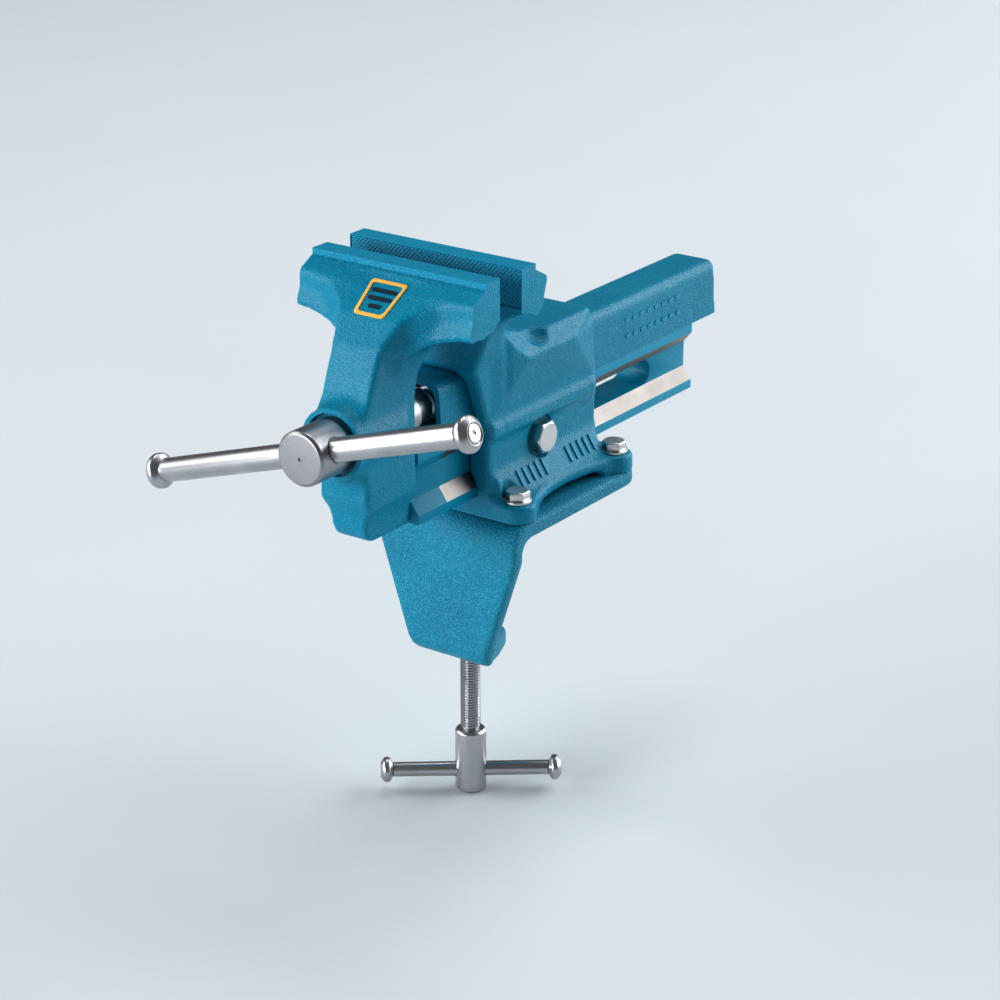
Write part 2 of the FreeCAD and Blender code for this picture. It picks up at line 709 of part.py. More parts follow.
def make_moving_jaw(badge):
    jaw_y = -front_face
    neck_top = -(front_face + S.strip_depth)
    bar = prism("moving_jaw_bar", "YZ", S.jaw_half * 2, jaw_outline(jaw_y, -1), both=True)
    flats = fuse("badge_flats", badge_flats(neck_top))
    pieces = [cut("moving_jaw_block", bar, flats)]
    # swan neck, hub level and lower block seen from the side
    pieces.append(prism("swan_neck", "YZ", S.neck_half * 2, front_line(neck_top) + [
        (neck_top - NECK_FRONT[0], S.jaw_top - NECK_FRONT[1]),
        (-(S.neck_front + 1.5), S.axis_z + 19), (-(S.neck_front + 2.5), S.axis_z - 22),
        (-(S.neck_front + 3.5), S.lower_root + 11.5), (-(S.neck_front + 1.0), S.lower_root + 8),
        (-S.neck_rear, S.lower_root + 8),
        (-S.neck_rear, S.axis_z + 16), (-(S.neck_rear - 3.5), S.axis_z + 31),
        (-(front_face + 4), S.jaw_top - S.tip_drop + 1),
        (-(front_face + 2), S.jaw_top - S.face_height + 3)], both=True))
    pieces.append(prism("lower_block", "YZ", S.block_half * 2, [
        (-(S.block_front), S.lower_root + 12), (-(S.block_front - 0.5), S.rail_bottom + 9),
        (-(S.block_front - 3.5), S.rail_bottom + 2.6), (-(S.block_front - 9), S.rail_bottom),
        (-S.neck_rear, S.rail_bottom), (-S.neck_rear, S.lower_root + 12)], both=True))
    # flare between the lower block and the hub level
    pieces.append(prism("block_flare", "XZ", S.block_front - S.neck_rear - 2, mirror_x([
        (S.block_half, S.lower_root - 2), (S.neck_half, S.lower_root + 10),
        (S.neck_half, S.lower_root + 14)]), offset=S.block_front - 2, back=True))
    # arches under the jaw ends, and the sloping front apron that widens to the jaw
    arch = mirror_x([(S.neck_half + out, S.axis_z + up) for out, up in JAW_ARCH] + [
        (S.jaw_half, S.axis_z + JAW_ARCH_END), (S.jaw_half, S.jaw_top - S.face_height)])
    side = prism("arch_side_view", "YZ", S.jaw_half * 2, [
        (jaw_y - 3, S.jaw_top - S.face_height + 2), (neck_top, S.jaw_top - S.face_height + 2),
        (neck_top - S.slope_run, S.jaw_top - 18), (neck_top - S.slope_run - 4, S.jaw_top - 30),
        (-S.neck_rear - 18, S.axis_z + 40), (-S.neck_rear - 10, S.axis_z + 24),
        (-S.neck_rear, S.axis_z + 22), (jaw_y - 8, S.axis_z + 50)], both=True)
    front = prism("arch_front_view", "XZ", FAR, arch, both=True)
    pieces.append(common("jaw_arches", [side, front]))
    plan = prism("apron_plan_view", "XY", FAR, [
        (-S.jaw_half, jaw_y - 8), (-S.jaw_half, neck_top - S.slope_run),
        (-S.neck_half - 22, neck_top - S.slope_run - 1.5), (-S.neck_half - 7, neck_top - 22),
        (-S.neck_half, neck_top - 36), (S.neck_half, neck_top - 36), (S.neck_half + 7, neck_top - 22),
        (S.neck_half + 22, neck_top - S.slope_run - 1.5), (S.jaw_half, neck_top - S.slope_run),
        (S.jaw_half, jaw_y - 8)])
    slab = prism("apron_side_view", "YZ", S.jaw_half * 2, front_line(neck_top) + [
        (neck_top - 30.0, S.jaw_top - 40.0), (neck_top - 12.0, S.jaw_top - 31.0),
        (neck_top, S.jaw_top - 26)], both=True)
    pieces.append(common("apron", [plan, slab]))
    # round hub in front of the neck
    pieces.append(cylinder("hub_boss", S.hub_radius, S.hub_front - S.neck_rear - 12,
                           0, -S.hub_front, S.axis_z, ALONG_Y))
    tools = [
        cylinder("hub_bore_tool", S.spindle_dia * 0.5 + S.clearance, 90.0,
                 0, -(S.hub_front + 10), S.axis_z, ALONG_Y),
        cylinder("hub_recess_tool", S.recess_radius, S.recess_depth + 10,
                 0, -(S.hub_front + 10), S.axis_z, ALONG_Y)]
    blank = fuse("moving_jaw_blank", pieces)
    bored = cut("moving_jaw_bored", blank, fuse("moving_jaw_tools", tools))
    keep("moving_jaw", cut("moving_jaw_cut", bored, badge))


def make_slide_rail():
    """Double prism rail with a slot through its web for the spindle nut and cross bolt."""
    rail = new_body("slide_rail_body")
    pad(rail, "rail_section", "XZ", S.rail_rear + S.neck_rear, mirror_x([
        (S.rail_half, S.rail_bottom), (S.rail_half, S.lower_edge), (S.web_half, S.lower_root),
        (S.web_half, S.upper_root), (S.rail_half, S.upper_edge), (S.rail_half, S.rail_top)]),
        offset=S.neck_rear, back=True)
    radius = (S.upper_root - S.lower_root) * 0.5
    middle = (S.upper_root + S.lower_root) * 0.5
    width = S.rail_half * 3
    slot = [box("slot_straight", width, S.slot_rear + S.slot_front - radius * 2, radius * 2,
                width * -0.5, -S.slot_front + radius, S.lower_root)]
    for name, y in (("front", -S.slot_front + radius), ("rear", S.slot_rear - radius)):
        slot.append(cylinder("slot_end_" + name, radius, width, width * -0.5, y, middle, ALONG_X))
    gap = S.tongue_gap
    slot.append(box("tongue_channel", S.tongue_thick + gap * 2, S.slot_rear + S.slot_front, 60.0,
                    -(S.tongue_thick * 0.5 + gap), -S.slot_front, middle))
    keep("slide_rail", cut("slide_rail_cut", rail, fuse("slide_rail_tools", slot)))


def make_spindle_cover():
    """Box over the spindle, standing on the rail and closed at the rear."""
    cover = new_body("spindle_cover_body")
    pad(cover, "cover_section", "XZ", S.cover_front + S.cover_rear, mirror_x([
        (S.cover_half, S.rail_top), (S.cover_top_half, cover_top - S.cover_corner),
        (S.cover_crown_half, cover_top)]), offset=S.cover_front, back=True)
    wall = S.cover_wall
    bore = prism("cover_bore", "XZ", S.cover_front + S.cover_rear - wall + 5, mirror_x([
        (S.cover_half - wall, S.rail_top - 1), (S.cover_top_half - wall, cover_top - wall - 3.4),
        (S.cover_crown_half - wall, cover_top - wall)]), offset=S.cover_front + 5, back=True)
    blank = cut("cover_hollow", cover, bore)
    floor = box("cover_floor", (S.cover_half - 1) * 2, S.cover_rear - S.rail_rear, wall,
                -(S.cover_half - 1), S.rail_rear, S.rail_top)
    keep("spindle_cover", fuse("spindle_cover_fuse", [blank, floor]))


def make_badge():
    """Raised border on the sloping front of the moving jaw."""
    def ring(grow):
        return mirror_x([(S.badge_low * 0.5 + grow, -(S.badge_high * 0.5 + grow)),
                         (S.badge_top * 0.5 + grow, S.badge_high * 0.5 + grow)])
    outer = new_body("badge_outer")
    pad(outer, "badge_pad", "XY", S.badge_thick, ring(Size(0)))
    inner = new_body("badge_inner")
    pad(inner, "badge_hole", "XY", S.badge_thick * 3, ring(-S.badge_line),
        offset=-S.badge_thick)
    frame = cut("badge_ring", outer, inner)
    top = -(front_face + S.strip_depth)
    lean = Rotation(Vector(1, 0, 0), BADGE_SLOPE)
    return keep("badge_frame", place(frame, 0, top - S.badge_run,
                                     S.jaw_top - S.badge_fall - S.badge_sunk, lean))


# ---------------------------------------------------------------- spindle
def make_spindle():
    collar_front = S.neck_rear - 0.5
    head_rear = S.hub_front - S.recess_depth + 0.4
    shaft = cylinder("spindle_shaft", S.spindle_dia * 0.5, head_rear + S.spindle_rear,
                     0, -head_rear, S.axis_z, ALONG_Y)
    pin_hole = cylinder("spindle_pin_hole", S.pin_dia * 0.5, S.collar_dia + 10,
                        0, -(collar_front - S.collar_long * 0.5), S.axis_z - S.collar_dia * 0.5 - 5)
    keep("main_spindle", cut("main_spindle_cut", shaft, pin_hole))
    ring = cylinder("collar_ring", S.collar_dia * 0.5, S.collar_long, 0, -collar_front,
                    S.axis_z, ALONG_Y)
    bore = cylinder("collar_bore", S.spindle_dia * 0.5 + 0.02, S.collar_long + 2,
                    0, -collar_front - 1, S.axis_z, ALONG_Y)
    hole = cylinder("collar_pin_hole", S.pin_dia * 0.5, S.collar_dia + 10,
                    0, -(collar_front - S.collar_long * 0.5), S.axis_z - S.collar_dia * 0.5 - 5)
    keep("thrust_collar", cut("thrust_collar_cut", ring, fuse("collar_tools", [bore, hole])))
    keep("collar_pin", cylinder("collar_pin_rod", S.pin_dia * 0.5 - 0.02, S.collar_dia - 1,
                                0, -(collar_front - S.collar_long * 0.5),
                                S.axis_z - S.collar_dia * 0.5 + 0.5))
    head = new_body("spindle_head_body")
    radius = S.head_dia * 0.5
    turn(head, "head_turning", [
        (-S.head_front, 0), (-S.head_front, radius - 1.6), (-S.head_front + 1.6, radius),
        (-head_rear - 1.2, radius), (-head_rear, radius - 1.2), (-head_rear, 0)])
    place(head, 0, 0, S.axis_z)
    tilt = Rotation(Vector(0, 1, 0), 90 - BAR_TILT)
    reach = S.head_dia
    bore = cylinder("head_bar_bore", S.bar_dia * 0.5 + 0.3, reach * 2,
                    -reach * math.cos(math.radians(BAR_TILT)), -S.bar_back,
                    S.axis_z - reach * math.sin(math.radians(BAR_TILT)), tilt)
    keep("spindle_head", cut("spindle_head_cut", head, bore))


def handle(prefix, names, bar, long, knob, knob_long, centre, rotation, axis):
    """A bar with a ring knob riveted on each end; centre is its middle, axis its direction."""
    spigot = as_size(bar) * 0.5 - 1.5
    bar_half = as_size(long) * 0.5 - knob_long

    def at(distance):
        distance = as_size(distance)
        return [as_size(c) + distance * a for c, a in zip(centre, axis)]

    middle = cylinder(prefix + "_rod", as_size(bar) * 0.5, bar_half * 2, *at(-bar_half),
                      rotation=rotation)
    pegs = cylinder(prefix + "_pegs", spigot, as_size(long) - 0.6,
                    *at(-(as_size(long) * 0.5 - 0.3)), rotation=rotation)
    keep(names[0], fuse(prefix + "_bar_fuse", [middle, pegs]))
    for name, start in ((names[1], -(as_size(long) * 0.5)), (names[2], bar_half)):
        body = new_body(name + "_body")
        radius = as_size(knob) * 0.5
        edge = radius * 0.34
        turn(body, name + "_turning", [
            (spigot + 0.02, 0), (radius - edge, 0), (radius, edge), (radius, knob_long - edge),
            (radius - edge, knob_long), (spigot + 0.02, knob_long)], axis="Z")
        spot = at(start)
        place(body, spot[0], spot[1], spot[2], rotation)
        keep(name, body)


def make_main_handle():
    lean = math.radians(BAR_TILT)
    axis = (math.cos(lean), 0.0, math.sin(lean))
    centre = (S.bar_shift * -axis[0], -S.bar_back, S.axis_z - S.bar_shift * axis[2])
    handle("main_handle", ("handle_bar", "handle_knob_left", "handle_knob_right"),
           S.bar_dia, S.bar_long, S.knob_dia, S.knob_long, centre,
           Rotation(Vector(0, 1, 0), 90 - BAR_TILT), axis)


# ---------------------------------------------------------------- clamp screw
def make_clamp_screw():
    pad_low = S.pad_top + S.pad_thick
    pressure = new_body("pressure_pad_body")
    radius = S.pad_dia * 0.5
    neck = S.clamp_thread * 0.5
    tip = pad_low - 5.0
    turn(pressure, "pad_turning", [
        (0, -S.pad_top), (radius - 1, -S.pad_top), (radius, -S.pad_top - 1),
        (radius, -(pad_low - 3)), (radius - 4, -pad_low), (neck - 1.2, -pad_low),
        (neck - 1.2, -tip), (0, -tip)], axis="Z")
    place(pressure, 0, -S.screw_y, 0)
    keep("pressure_pad", pressure)
    screw = new_body("clamp_screw_body")
    turn(screw, "screw_turning", [
        (0, -(tip + 0.5)), (neck - 1.5, -(tip + 0.5)), (neck - 1.5, -(pad_low + 0.5)),
        (neck, -(pad_low + 2)), (neck, -S.hub_top), (0, -S.hub_top)], axis="Z")
    place(screw, 0, -S.screw_y, 0)
    keep("clamp_screw", screw)
    hub = new_body("clamp_hub_body")
    hub_radius = S.hub_dia * 0.5
    turn(hub, "hub_turning", [
        (0, -S.hub_top), (hub_radius - 1.2, -S.hub_top), (hub_radius, -S.hub_top - 1.2),
        (hub_radius, -S.hub_bottom + 1.2), (hub_radius - 1.2, -S.hub_bottom), (0, -S.hub_bottom)],
        axis="Z")
    place(hub, 0, -S.screw_y, 0)
    turned = math.radians(CLAMP_BAR_TURN)
    axis = (math.cos(turned), math.sin(turned), 0.0)
    rotation = Rotation(Vector(0, 0, 1), Vector(*axis))
    bore = cylinder("hub_bar_bore", S.clamp_bar * 0.5 + 0.3, S.hub_dia * 2, -S.hub_dia * axis[0],
                    -S.screw_y - S.hub_dia * axis[1], -S.clamp_bar_z, rotation)
    keep("clamp_hub", cut("clamp_hub_cut", hub, bore))
    handle("clamp_handle", ("clamp_handle_bar", "clamp_knob_left", "clamp_knob_right"),
           S.clamp_bar, S.clamp_bar_long, S.clamp_knob, S.clamp_knob_long,
           (0.0, -S.screw_y, -S.clamp_bar_z), rotation, axis)


make_clamp_frame()
make_vise_body()
make_base_bolts()
make_cross_bolt()
make_spindle_nut()
make_moving_jaw(make_badge())
make_slide_rail()
make_spindle_cover()
make_spindle()
make_main_handle()
make_clamp_screw()
doc.recompute()

for item in doc.Objects:
    if "Invalid" in item.State or "Error" in item.State:
        raise RuntimeError("%s did not rebuild: %s" % (item.Name, item.State))
for name, item in nodes.items():
    shape = item.Shape
    if shape.isNull() or not shape.isValid():
        raise RuntimeError("%s has no valid shape" % name)
    shape.exportStep("parts/%s.step" % name)
    print("%-20s solids %d volume %.0f" % (name, len(shape.Solids), shape.Volume))
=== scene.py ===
import json
import math

import bmesh
import bpy
import numpy as np
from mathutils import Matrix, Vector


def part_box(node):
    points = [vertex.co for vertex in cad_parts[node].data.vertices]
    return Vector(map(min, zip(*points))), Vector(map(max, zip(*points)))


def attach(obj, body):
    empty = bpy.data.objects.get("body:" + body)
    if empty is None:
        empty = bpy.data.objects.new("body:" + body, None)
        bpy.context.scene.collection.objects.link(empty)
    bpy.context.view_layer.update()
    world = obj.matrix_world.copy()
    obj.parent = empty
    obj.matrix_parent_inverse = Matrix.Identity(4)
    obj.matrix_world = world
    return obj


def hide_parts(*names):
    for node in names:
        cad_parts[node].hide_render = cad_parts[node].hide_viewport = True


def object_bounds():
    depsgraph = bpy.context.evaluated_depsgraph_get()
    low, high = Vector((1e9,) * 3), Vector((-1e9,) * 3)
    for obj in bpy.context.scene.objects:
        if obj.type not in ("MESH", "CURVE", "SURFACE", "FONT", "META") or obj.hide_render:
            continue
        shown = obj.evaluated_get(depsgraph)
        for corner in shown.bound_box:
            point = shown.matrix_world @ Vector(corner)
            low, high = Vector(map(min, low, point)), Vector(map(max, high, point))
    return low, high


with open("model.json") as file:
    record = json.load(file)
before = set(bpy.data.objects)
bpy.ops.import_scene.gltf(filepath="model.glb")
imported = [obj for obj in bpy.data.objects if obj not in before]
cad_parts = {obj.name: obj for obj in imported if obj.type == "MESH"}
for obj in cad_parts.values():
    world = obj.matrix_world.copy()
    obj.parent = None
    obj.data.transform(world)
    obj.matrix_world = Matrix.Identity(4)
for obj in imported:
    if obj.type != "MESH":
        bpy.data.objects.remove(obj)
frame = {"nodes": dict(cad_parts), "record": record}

import openvdb
from mathutils import Matrix, Vector

# Bench vise on a screw clamp.  The shapes are worked out in millimetres in the model's own
# frame (+Z up, +Y to the rear, X = 0 the plane of symmetry, Z = 0 the bench face) and
# brought to metres when a piece is made.
MM = 0.001
CAD_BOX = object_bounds()

X = Vector((1, 0, 0))
Y = Vector((0, 1, 0))
Z = Vector((0, 0, 1))


def corners(node):
    """Lowest and highest corner of a node at rest, in millimetres."""
    low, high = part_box(node)
    return Vector(low) / MM, Vector(high) / MM


def joint(name):
    return next(j for j in frame["record"]["behaviour"]["joints"] if j["name"] == name)


# ---------------------------------------------------------------- sizes
body_low, body_high = corners("vise_body")
jaw_low, jaw_high = corners("moving_jaw")
rail_low, rail_high = corners("slide_rail")
cover_low, cover_high = corners("spindle_cover")
clamp_low = corners("clamp_frame")[0]
bolts_low, bolts_high = corners("base_bolts")
washers_low, washers_high = corners("base_washers")

JAW_HALF = body_high.x
JAW_TOP = body_high.z
FIXED_FACE = body_low.y              # jaw face of the fixed jaw
MOVING_FACE = jaw_high.y             # jaw face of the moving jaw
FACE_LOW = JAW_TOP - 23.7            # lower edge of both jaw faces
STRIP_DEPTH = 13.3                   # machined strip behind each jaw face
STRIP_STEP = 3.65
SLOPE_RUN = 11.8                     # fall behind the strip
SLOPE_DROP = 6.2

AXIS_Z = joint("spindle_turn")["pos_m"][2] / MM      # height of the spindle axis
SCREW_Y = joint("clamp_screw_turn")["pos_m"][1] / MM
CLEAR = 0.3                          # running gap between sliding pieces

RAIL_HALF = rail_high.x
WEB_HALF = 11.2
LOWER_EDGE, LOWER_ROOT = 28.2, 36.5  # lower bevel of the rail
UPPER_ROOT, UPPER_EDGE = 52.7, 59.8  # upper bevel
WEB_MIDDLE = (LOWER_ROOT + UPPER_ROOT) / 2
SLOT_FRONT, SLOT_REAR = -40.0, 131.6
GROUND_FRONT = -90.0                 # the rail's bevels are ground from here to the rear
TONGUE_GAP_HALF = 5.1                # half width of the gap that the nut's tongue runs in

COVER_TOP_HALF = 16.2
COVER_CROWN_HALF = 12.6
COVER_CORNER = 4.2
COVER_WALL = 3.2

RECESS_RADIUS = 18.2                 # recess in the moving jaw around the spindle head
RECESS_DEPTH = 3.6
SPINDLE_RADIUS = 10.0
SPINDLE_PITCH = 4.0
SPINDLE_THREAD = 2.0                 # depth of the thread
CROSS_RADIUS = 6.0                   # the cross bolt holds the spindle nut
CROSS_BORE = 6.1
CROSS_FLATS = 18.0
CROSS_THREAD = 0.9
CROSS_Y = -9.5
CROSS_Z = UPPER_ROOT - CLEAR - CROSS_RADIUS
SCREW_RADIUS = 6.0                   # the clamp screw
SCREW_BORE = 6.2
SCREW_THREAD = 1.05
FINE_PITCH = 1.75                    # of the cross bolt and the clamp screw
WALL_HALF = 26.0
SEAT_X = WALL_HALF - 1.5             # face that the cross bolt's head sits on
SEAT_RADIUS = 13.0
SLOPE_FOOT = 37.0                    # the slopes above the flange start here
SLOPE_HIGH = 17.0                    # and rise this far
FLANGE_TOP = washers_low.z
WASHER_RADIUS = 8.4
WASHER_BORE = 4.2
SPOT_FACE = 0.6                      # the flat under a washer is this much wider
BOLT_RADIUS = 4.0                    # the base bolts
BOLT_BORE = 4.1
BOLT_FLATS = 13.0
BOLT_X = washers_high.x - WASHER_RADIUS
BOLT_Y = washers_high.y - WASHER_RADIUS
BOLT_PLACES = [(x, y) for x in (-BOLT_X, BOLT_X) for y in (-BOLT_Y, BOLT_Y)]
PIN_RADIUS = 1.9                     # the pin through the thrust collar
PIN_BORE = 2.05
BADGE_SLOPE = math.radians(33.2)
BAR_TILT = math.atan2(joint("handle_slide")["axis"][2], joint("handle_slide")["axis"][0])
CLAMP_BAR_TURN = math.atan2(joint("clamp_handle_slide")["axis"][1],
                            joint("clamp_handle_slide")["axis"][0])

BAR_Y = -185.5                       # the main handle crosses the spindle head here
BAR_SHIFT = 6.3                      # and its middle stands this far to the left
MAIN_HANDLE = {"radius": 7.0, "knob_radius": 10.3, "knob_length": 9.6, "half": 118.3}
CLAMP_HANDLE = {"radius": 4.5, "knob_radius": 7.8, "knob_length": 7.8, "half": 55.0}

VOXEL = 1.1                          # grid step of the castings
SPARE = 6.0                          # stock left on machined faces while edges are rounded
FAR = 400.0                          # longer than any piece


# ---------------------------------------------------------------- solids
def bridge(form, first, second):
    """Join two loops of the same length with quads."""
    for k in range(len(first)):
        n = (k + 1) % len(first)
        form.faces.new((first[k], first[n], second[n], second[k]))


PLACES = {"x": lambda u, v, w: (w, u, v), "y": lambda u, v, w: (u, w, v),
          "z": lambda u, v, w: (u, v, w)}


def prism(axis, outline, start, end):
    """An outline in the plane across an axis, pulled along it from start to end."""
    form = bmesh.new()
    ends = [[form.verts.new(PLACES[axis](u, v, w)) for u, v in outline] for w in (start, end)]
    bridge(form, *ends)
    form.faces.new(ends[0])
    form.faces.new(ends[1][::-1])
    bmesh.ops.recalc_face_normals(form, faces=form.faces)
    return form


def block(low, high):
    outline = [(low[0], low[1]), (high[0], low[1]), (high[0], high[1]), (low[0], high[1])]
    return prism("z", outline, low[2], high[2])


def mirrored(points):
    """Close a half outline given on the +X side, from bottom to top."""
    return list(points) + [(-u, v) for u, v in reversed(points)]


def eased(points, reach, closed=False, steps=5):
    """A polyline with its corners rounded, starting at most reach away from each corner."""
    points = [Vector(p) for p in points]
    count = len(points)
    result = []
    for k, corner in enumerate(points):
        if not closed and k in (0, count - 1):
            result.append(corner)
            continue
        before, after = points[k - 1] - corner, points[(k + 1) % count] - corner
        size = min(reach, before.length * 0.49, after.length * 0.49)
        start, end = corner + before.normalized() * size, corner + after.normalized() * size
        for step in range(steps + 1):
            t = step / steps
            result.append(start * (1 - t) ** 2 + corner * 2 * t * (1 - t) + end * t * t)
    return [tuple(p) for p in result]


def across(axis):
    """Two unit vectors that make a right-handed set with an axis."""
    side = axis.cross(Z if abs(axis.z) < 0.9 else X).normalized()
    return side, axis.cross(side)


def lathe(profile, origin, axis, segments=96, ring=False):
    """Turn a profile of (distance along the axis, radius) about an axis."""
    side, up = across(axis)
    form = bmesh.new()
    rings = []
    for along, radius in profile:
        centre = origin + axis * along
        if radius < 1e-6:
            rings.append([form.verts.new(centre)])
            continue
        rings.append([form.verts.new(centre + radius * (side * math.cos(a) + up * math.sin(a)))
                      for a in np.linspace(0, 2 * math.pi, segments, endpoint=False)])
    pairs = list(zip(rings, rings[1:]))
    if ring:
        pairs.append((rings[-1], rings[0]))
    for first, second in pairs:
        if len(first) == 1 or len(second) == 1:
            tip, loop = (first[0], second) if len(first) == 1 else (second[0], first)
            for k in range(segments):
                form.faces.new((tip, loop[k], loop[(k + 1) % segments]))
        else:
            bridge(form, first, second)
    bmesh.ops.recalc_face_normals(form, faces=form.faces)
    return form


def rod(radius, start, end, origin, axis, segments=64):
    return lathe([(start, 0), (start, radius), (end, radius), (end, 0)], origin, axis, segments)


def threaded(radius, depth, pitch, start, end, origin, axis, crest=0.35, segments=48):
    """A closed rod whose surface is one continuous screw thread, run out at both ends."""
    side, up = across(axis)
    form = bmesh.new()
    steps = max(8, int(round((end - start) / pitch * 8)))
    rings = []
    for k in range(steps + 1):
        along = start + (end - start) * k / steps
        fade = min(1.0, (along - start) / pitch, (end - along) / pitch)
        ring = []
        for s in range(segments):
            turn = s / segments
            phase = (along / pitch - turn) % 1.0
            flank = min(1.0, max(0.0, (abs(phase - 0.5) * 2 - crest) / (1 - 2 * crest)))
            reach = radius - depth * (flank * fade + (1 - fade))
            angle = turn * 2 * math.pi
            ring.append(form.verts.new(origin + axis * along
                                       + reach * (side * math.cos(angle) + up * math.sin(angle))))
        rings.append(ring)
    for first, second in zip(rings, rings[1:]):
        bridge(form, first, second)
    form.faces.new(rings[0])
    form.faces.new(rings[-1][::-1])
    bmesh.ops.recalc_face_normals(form, faces=form.faces)
    return form


def joined(forms):
    """Several closed forms in one."""
    whole = bmesh.new()
    for form in forms:
        mesh = bpy.data.meshes.new("part")
        form.to_mesh(mesh)
        whole.from_mesh(mesh)
        bpy.data.meshes.remove(mesh)
        form.free()
    return whole


def stand_in(form):
    """A short-lived object for a modifier to work on."""
    mesh = bpy.data.meshes.new("stand_in")
    form.to_mesh(mesh)
    form.free()
    item = bpy.data.objects.new("stand_in", mesh)
    bpy.context.scene.collection.objects.link(item)
    return item


def combined(form, tools, operation="DIFFERENCE"):
    """A form with each tool cut from it, joined to it or kept in common with it."""
    item = stand_in(form)
    helpers = [stand_in(tool) for tool in tools]
    for helper in helpers:
        modifier = item.modifiers.new("boolean", "BOOLEAN")
        modifier.operation = operation
        modifier.solver = "MANIFOLD"
        modifier.object = helper
    result = bmesh.new()
    result.from_object(item, bpy.context.evaluated_depsgraph_get())
    for each in [item] + helpers:
        mesh = each.data
        bpy.data.objects.remove(each)
        bpy.data.meshes.remove(mesh)
    return result


def bevelled(form, width, angle=30.0, segments=2):
    """Break the sharp edges of a form."""
    bmesh.ops.remove_doubles(form, verts=form.verts, dist=1e-4)
    bmesh.ops.dissolve_limit(form, angle_limit=math.radians(1.0), verts=form.verts,
                             edges=form.edges)
    sharp = [e for e in form.edges
             if len(e.link_faces) == 2 and e.calc_face_angle() > math.radians(angle)]
    bmesh.ops.bevel(form, geom=sharp, offset=width, offset_type="OFFSET", affect="EDGES",
                    segments=segments, profile=0.5, clamp_overlap=True)
    return form


# ---------------------------------------------------------------- castings
def node_surface(node):
    """Points in millimetres and triangles of a node's closed surface."""
    mesh = frame["nodes"][node].data
    mesh.calc_loop_triangles()
    points = np.empty(len(mesh.vertices) * 3)
    mesh.vertices.foreach_get("co", points)
    triangles = np.empty(len(mesh.loop_triangles) * 3, dtype=np.int64)
    mesh.loop_triangles.foreach_get("vertices", triangles)
    points, index = np.unique(np.round(points.reshape(-1, 3) / MM, 3), axis=0,
                              return_inverse=True)
    return points, index.reshape(-1)[triangles].reshape(-1, 3)


def form_surface(form):
    bmesh.ops.triangulate(form, faces=form.faces)
    form.verts.index_update()
    points = np.array([v.co[:] for v in form.verts])
    triangles = np.array([[v.index for v in f.verts] for f in form.faces])
    form.free()
    return points, triangles


def with_stock(points, triangles, planes):
    """Points of a surface with its machined planes moved out along the faces beside them."""
    a, b, c = (points[triangles[:, k]] for k in range(3))
    normals = np.cross(b - a, c - a)
    normals /= np.maximum(np.linalg.norm(normals, axis=1), 1e-9)[:, None]
    moved = points.copy()
    for normal, distance, lowest in planes:
        normal = np.array(normal, dtype=float)
        on_plane = (np.abs(points @ normal - distance) < 0.02) & (points[:, 2] > lowest)
        for index in np.flatnonzero(on_plane):
            around = normals[(triangles == index).any(axis=1)]
            sides = around[np.abs(around @ normal) < 0.9]
            rows = np.vstack([normal * 10, sides])
            wanted = np.zeros(len(rows))
            wanted[0] = SPARE * 10
            moved[index] += np.linalg.lstsq(rows, wanted, rcond=None)[0]
    return moved


def offset(points, faces, distance):
    """The surface at a distance from a closed surface."""
    kind = "triangles" if faces.shape[1] == 3 else "quads"
    grid = openvdb.FloatGrid.createLevelSetFromPolygons(
        points.astype(np.float32), transform=openvdb.createLinearTransform(voxelSize=VOXEL),
        halfWidth=abs(distance) / VOXEL + 3, **{kind: faces.astype(np.uint32)})
    return grid.convertToQuads(distance)


def half_space(normal, distance):
    """The block of space beyond a plane across one axis."""
    low, high = Vector((-FAR, -FAR, -FAR)), Vector((FAR, FAR, FAR))
    k = max(range(3), key=lambda i: abs(normal[i]))
    if normal[k] > 0:
        low[k] = distance
    else:
        high[k] = -distance
    return block(low, high)


def casting(surface, planes, fillet, rounding):
    """Fill inner corners to one radius, round outer ones to another, then face the planes."""
    points, faces = surface
    points = with_stock(points, faces, planes)
    steps = (fillet, -fillet - rounding, rounding) if fillet else (-rounding, rounding)
    for distance in steps:
        points, faces = offset(points, faces, distance)
    mesh = bpy.data.meshes.new("casting")
    mesh.from_pydata(points.tolist(), [], faces.tolist())
    form = bmesh.new()
    form.from_mesh(mesh)
    bpy.data.meshes.remove(mesh)
    bmesh.ops.recalc_face_normals(form, faces=form.faces)
    return combined(form, [half_space(normal, distance) for normal, distance, _ in planes])


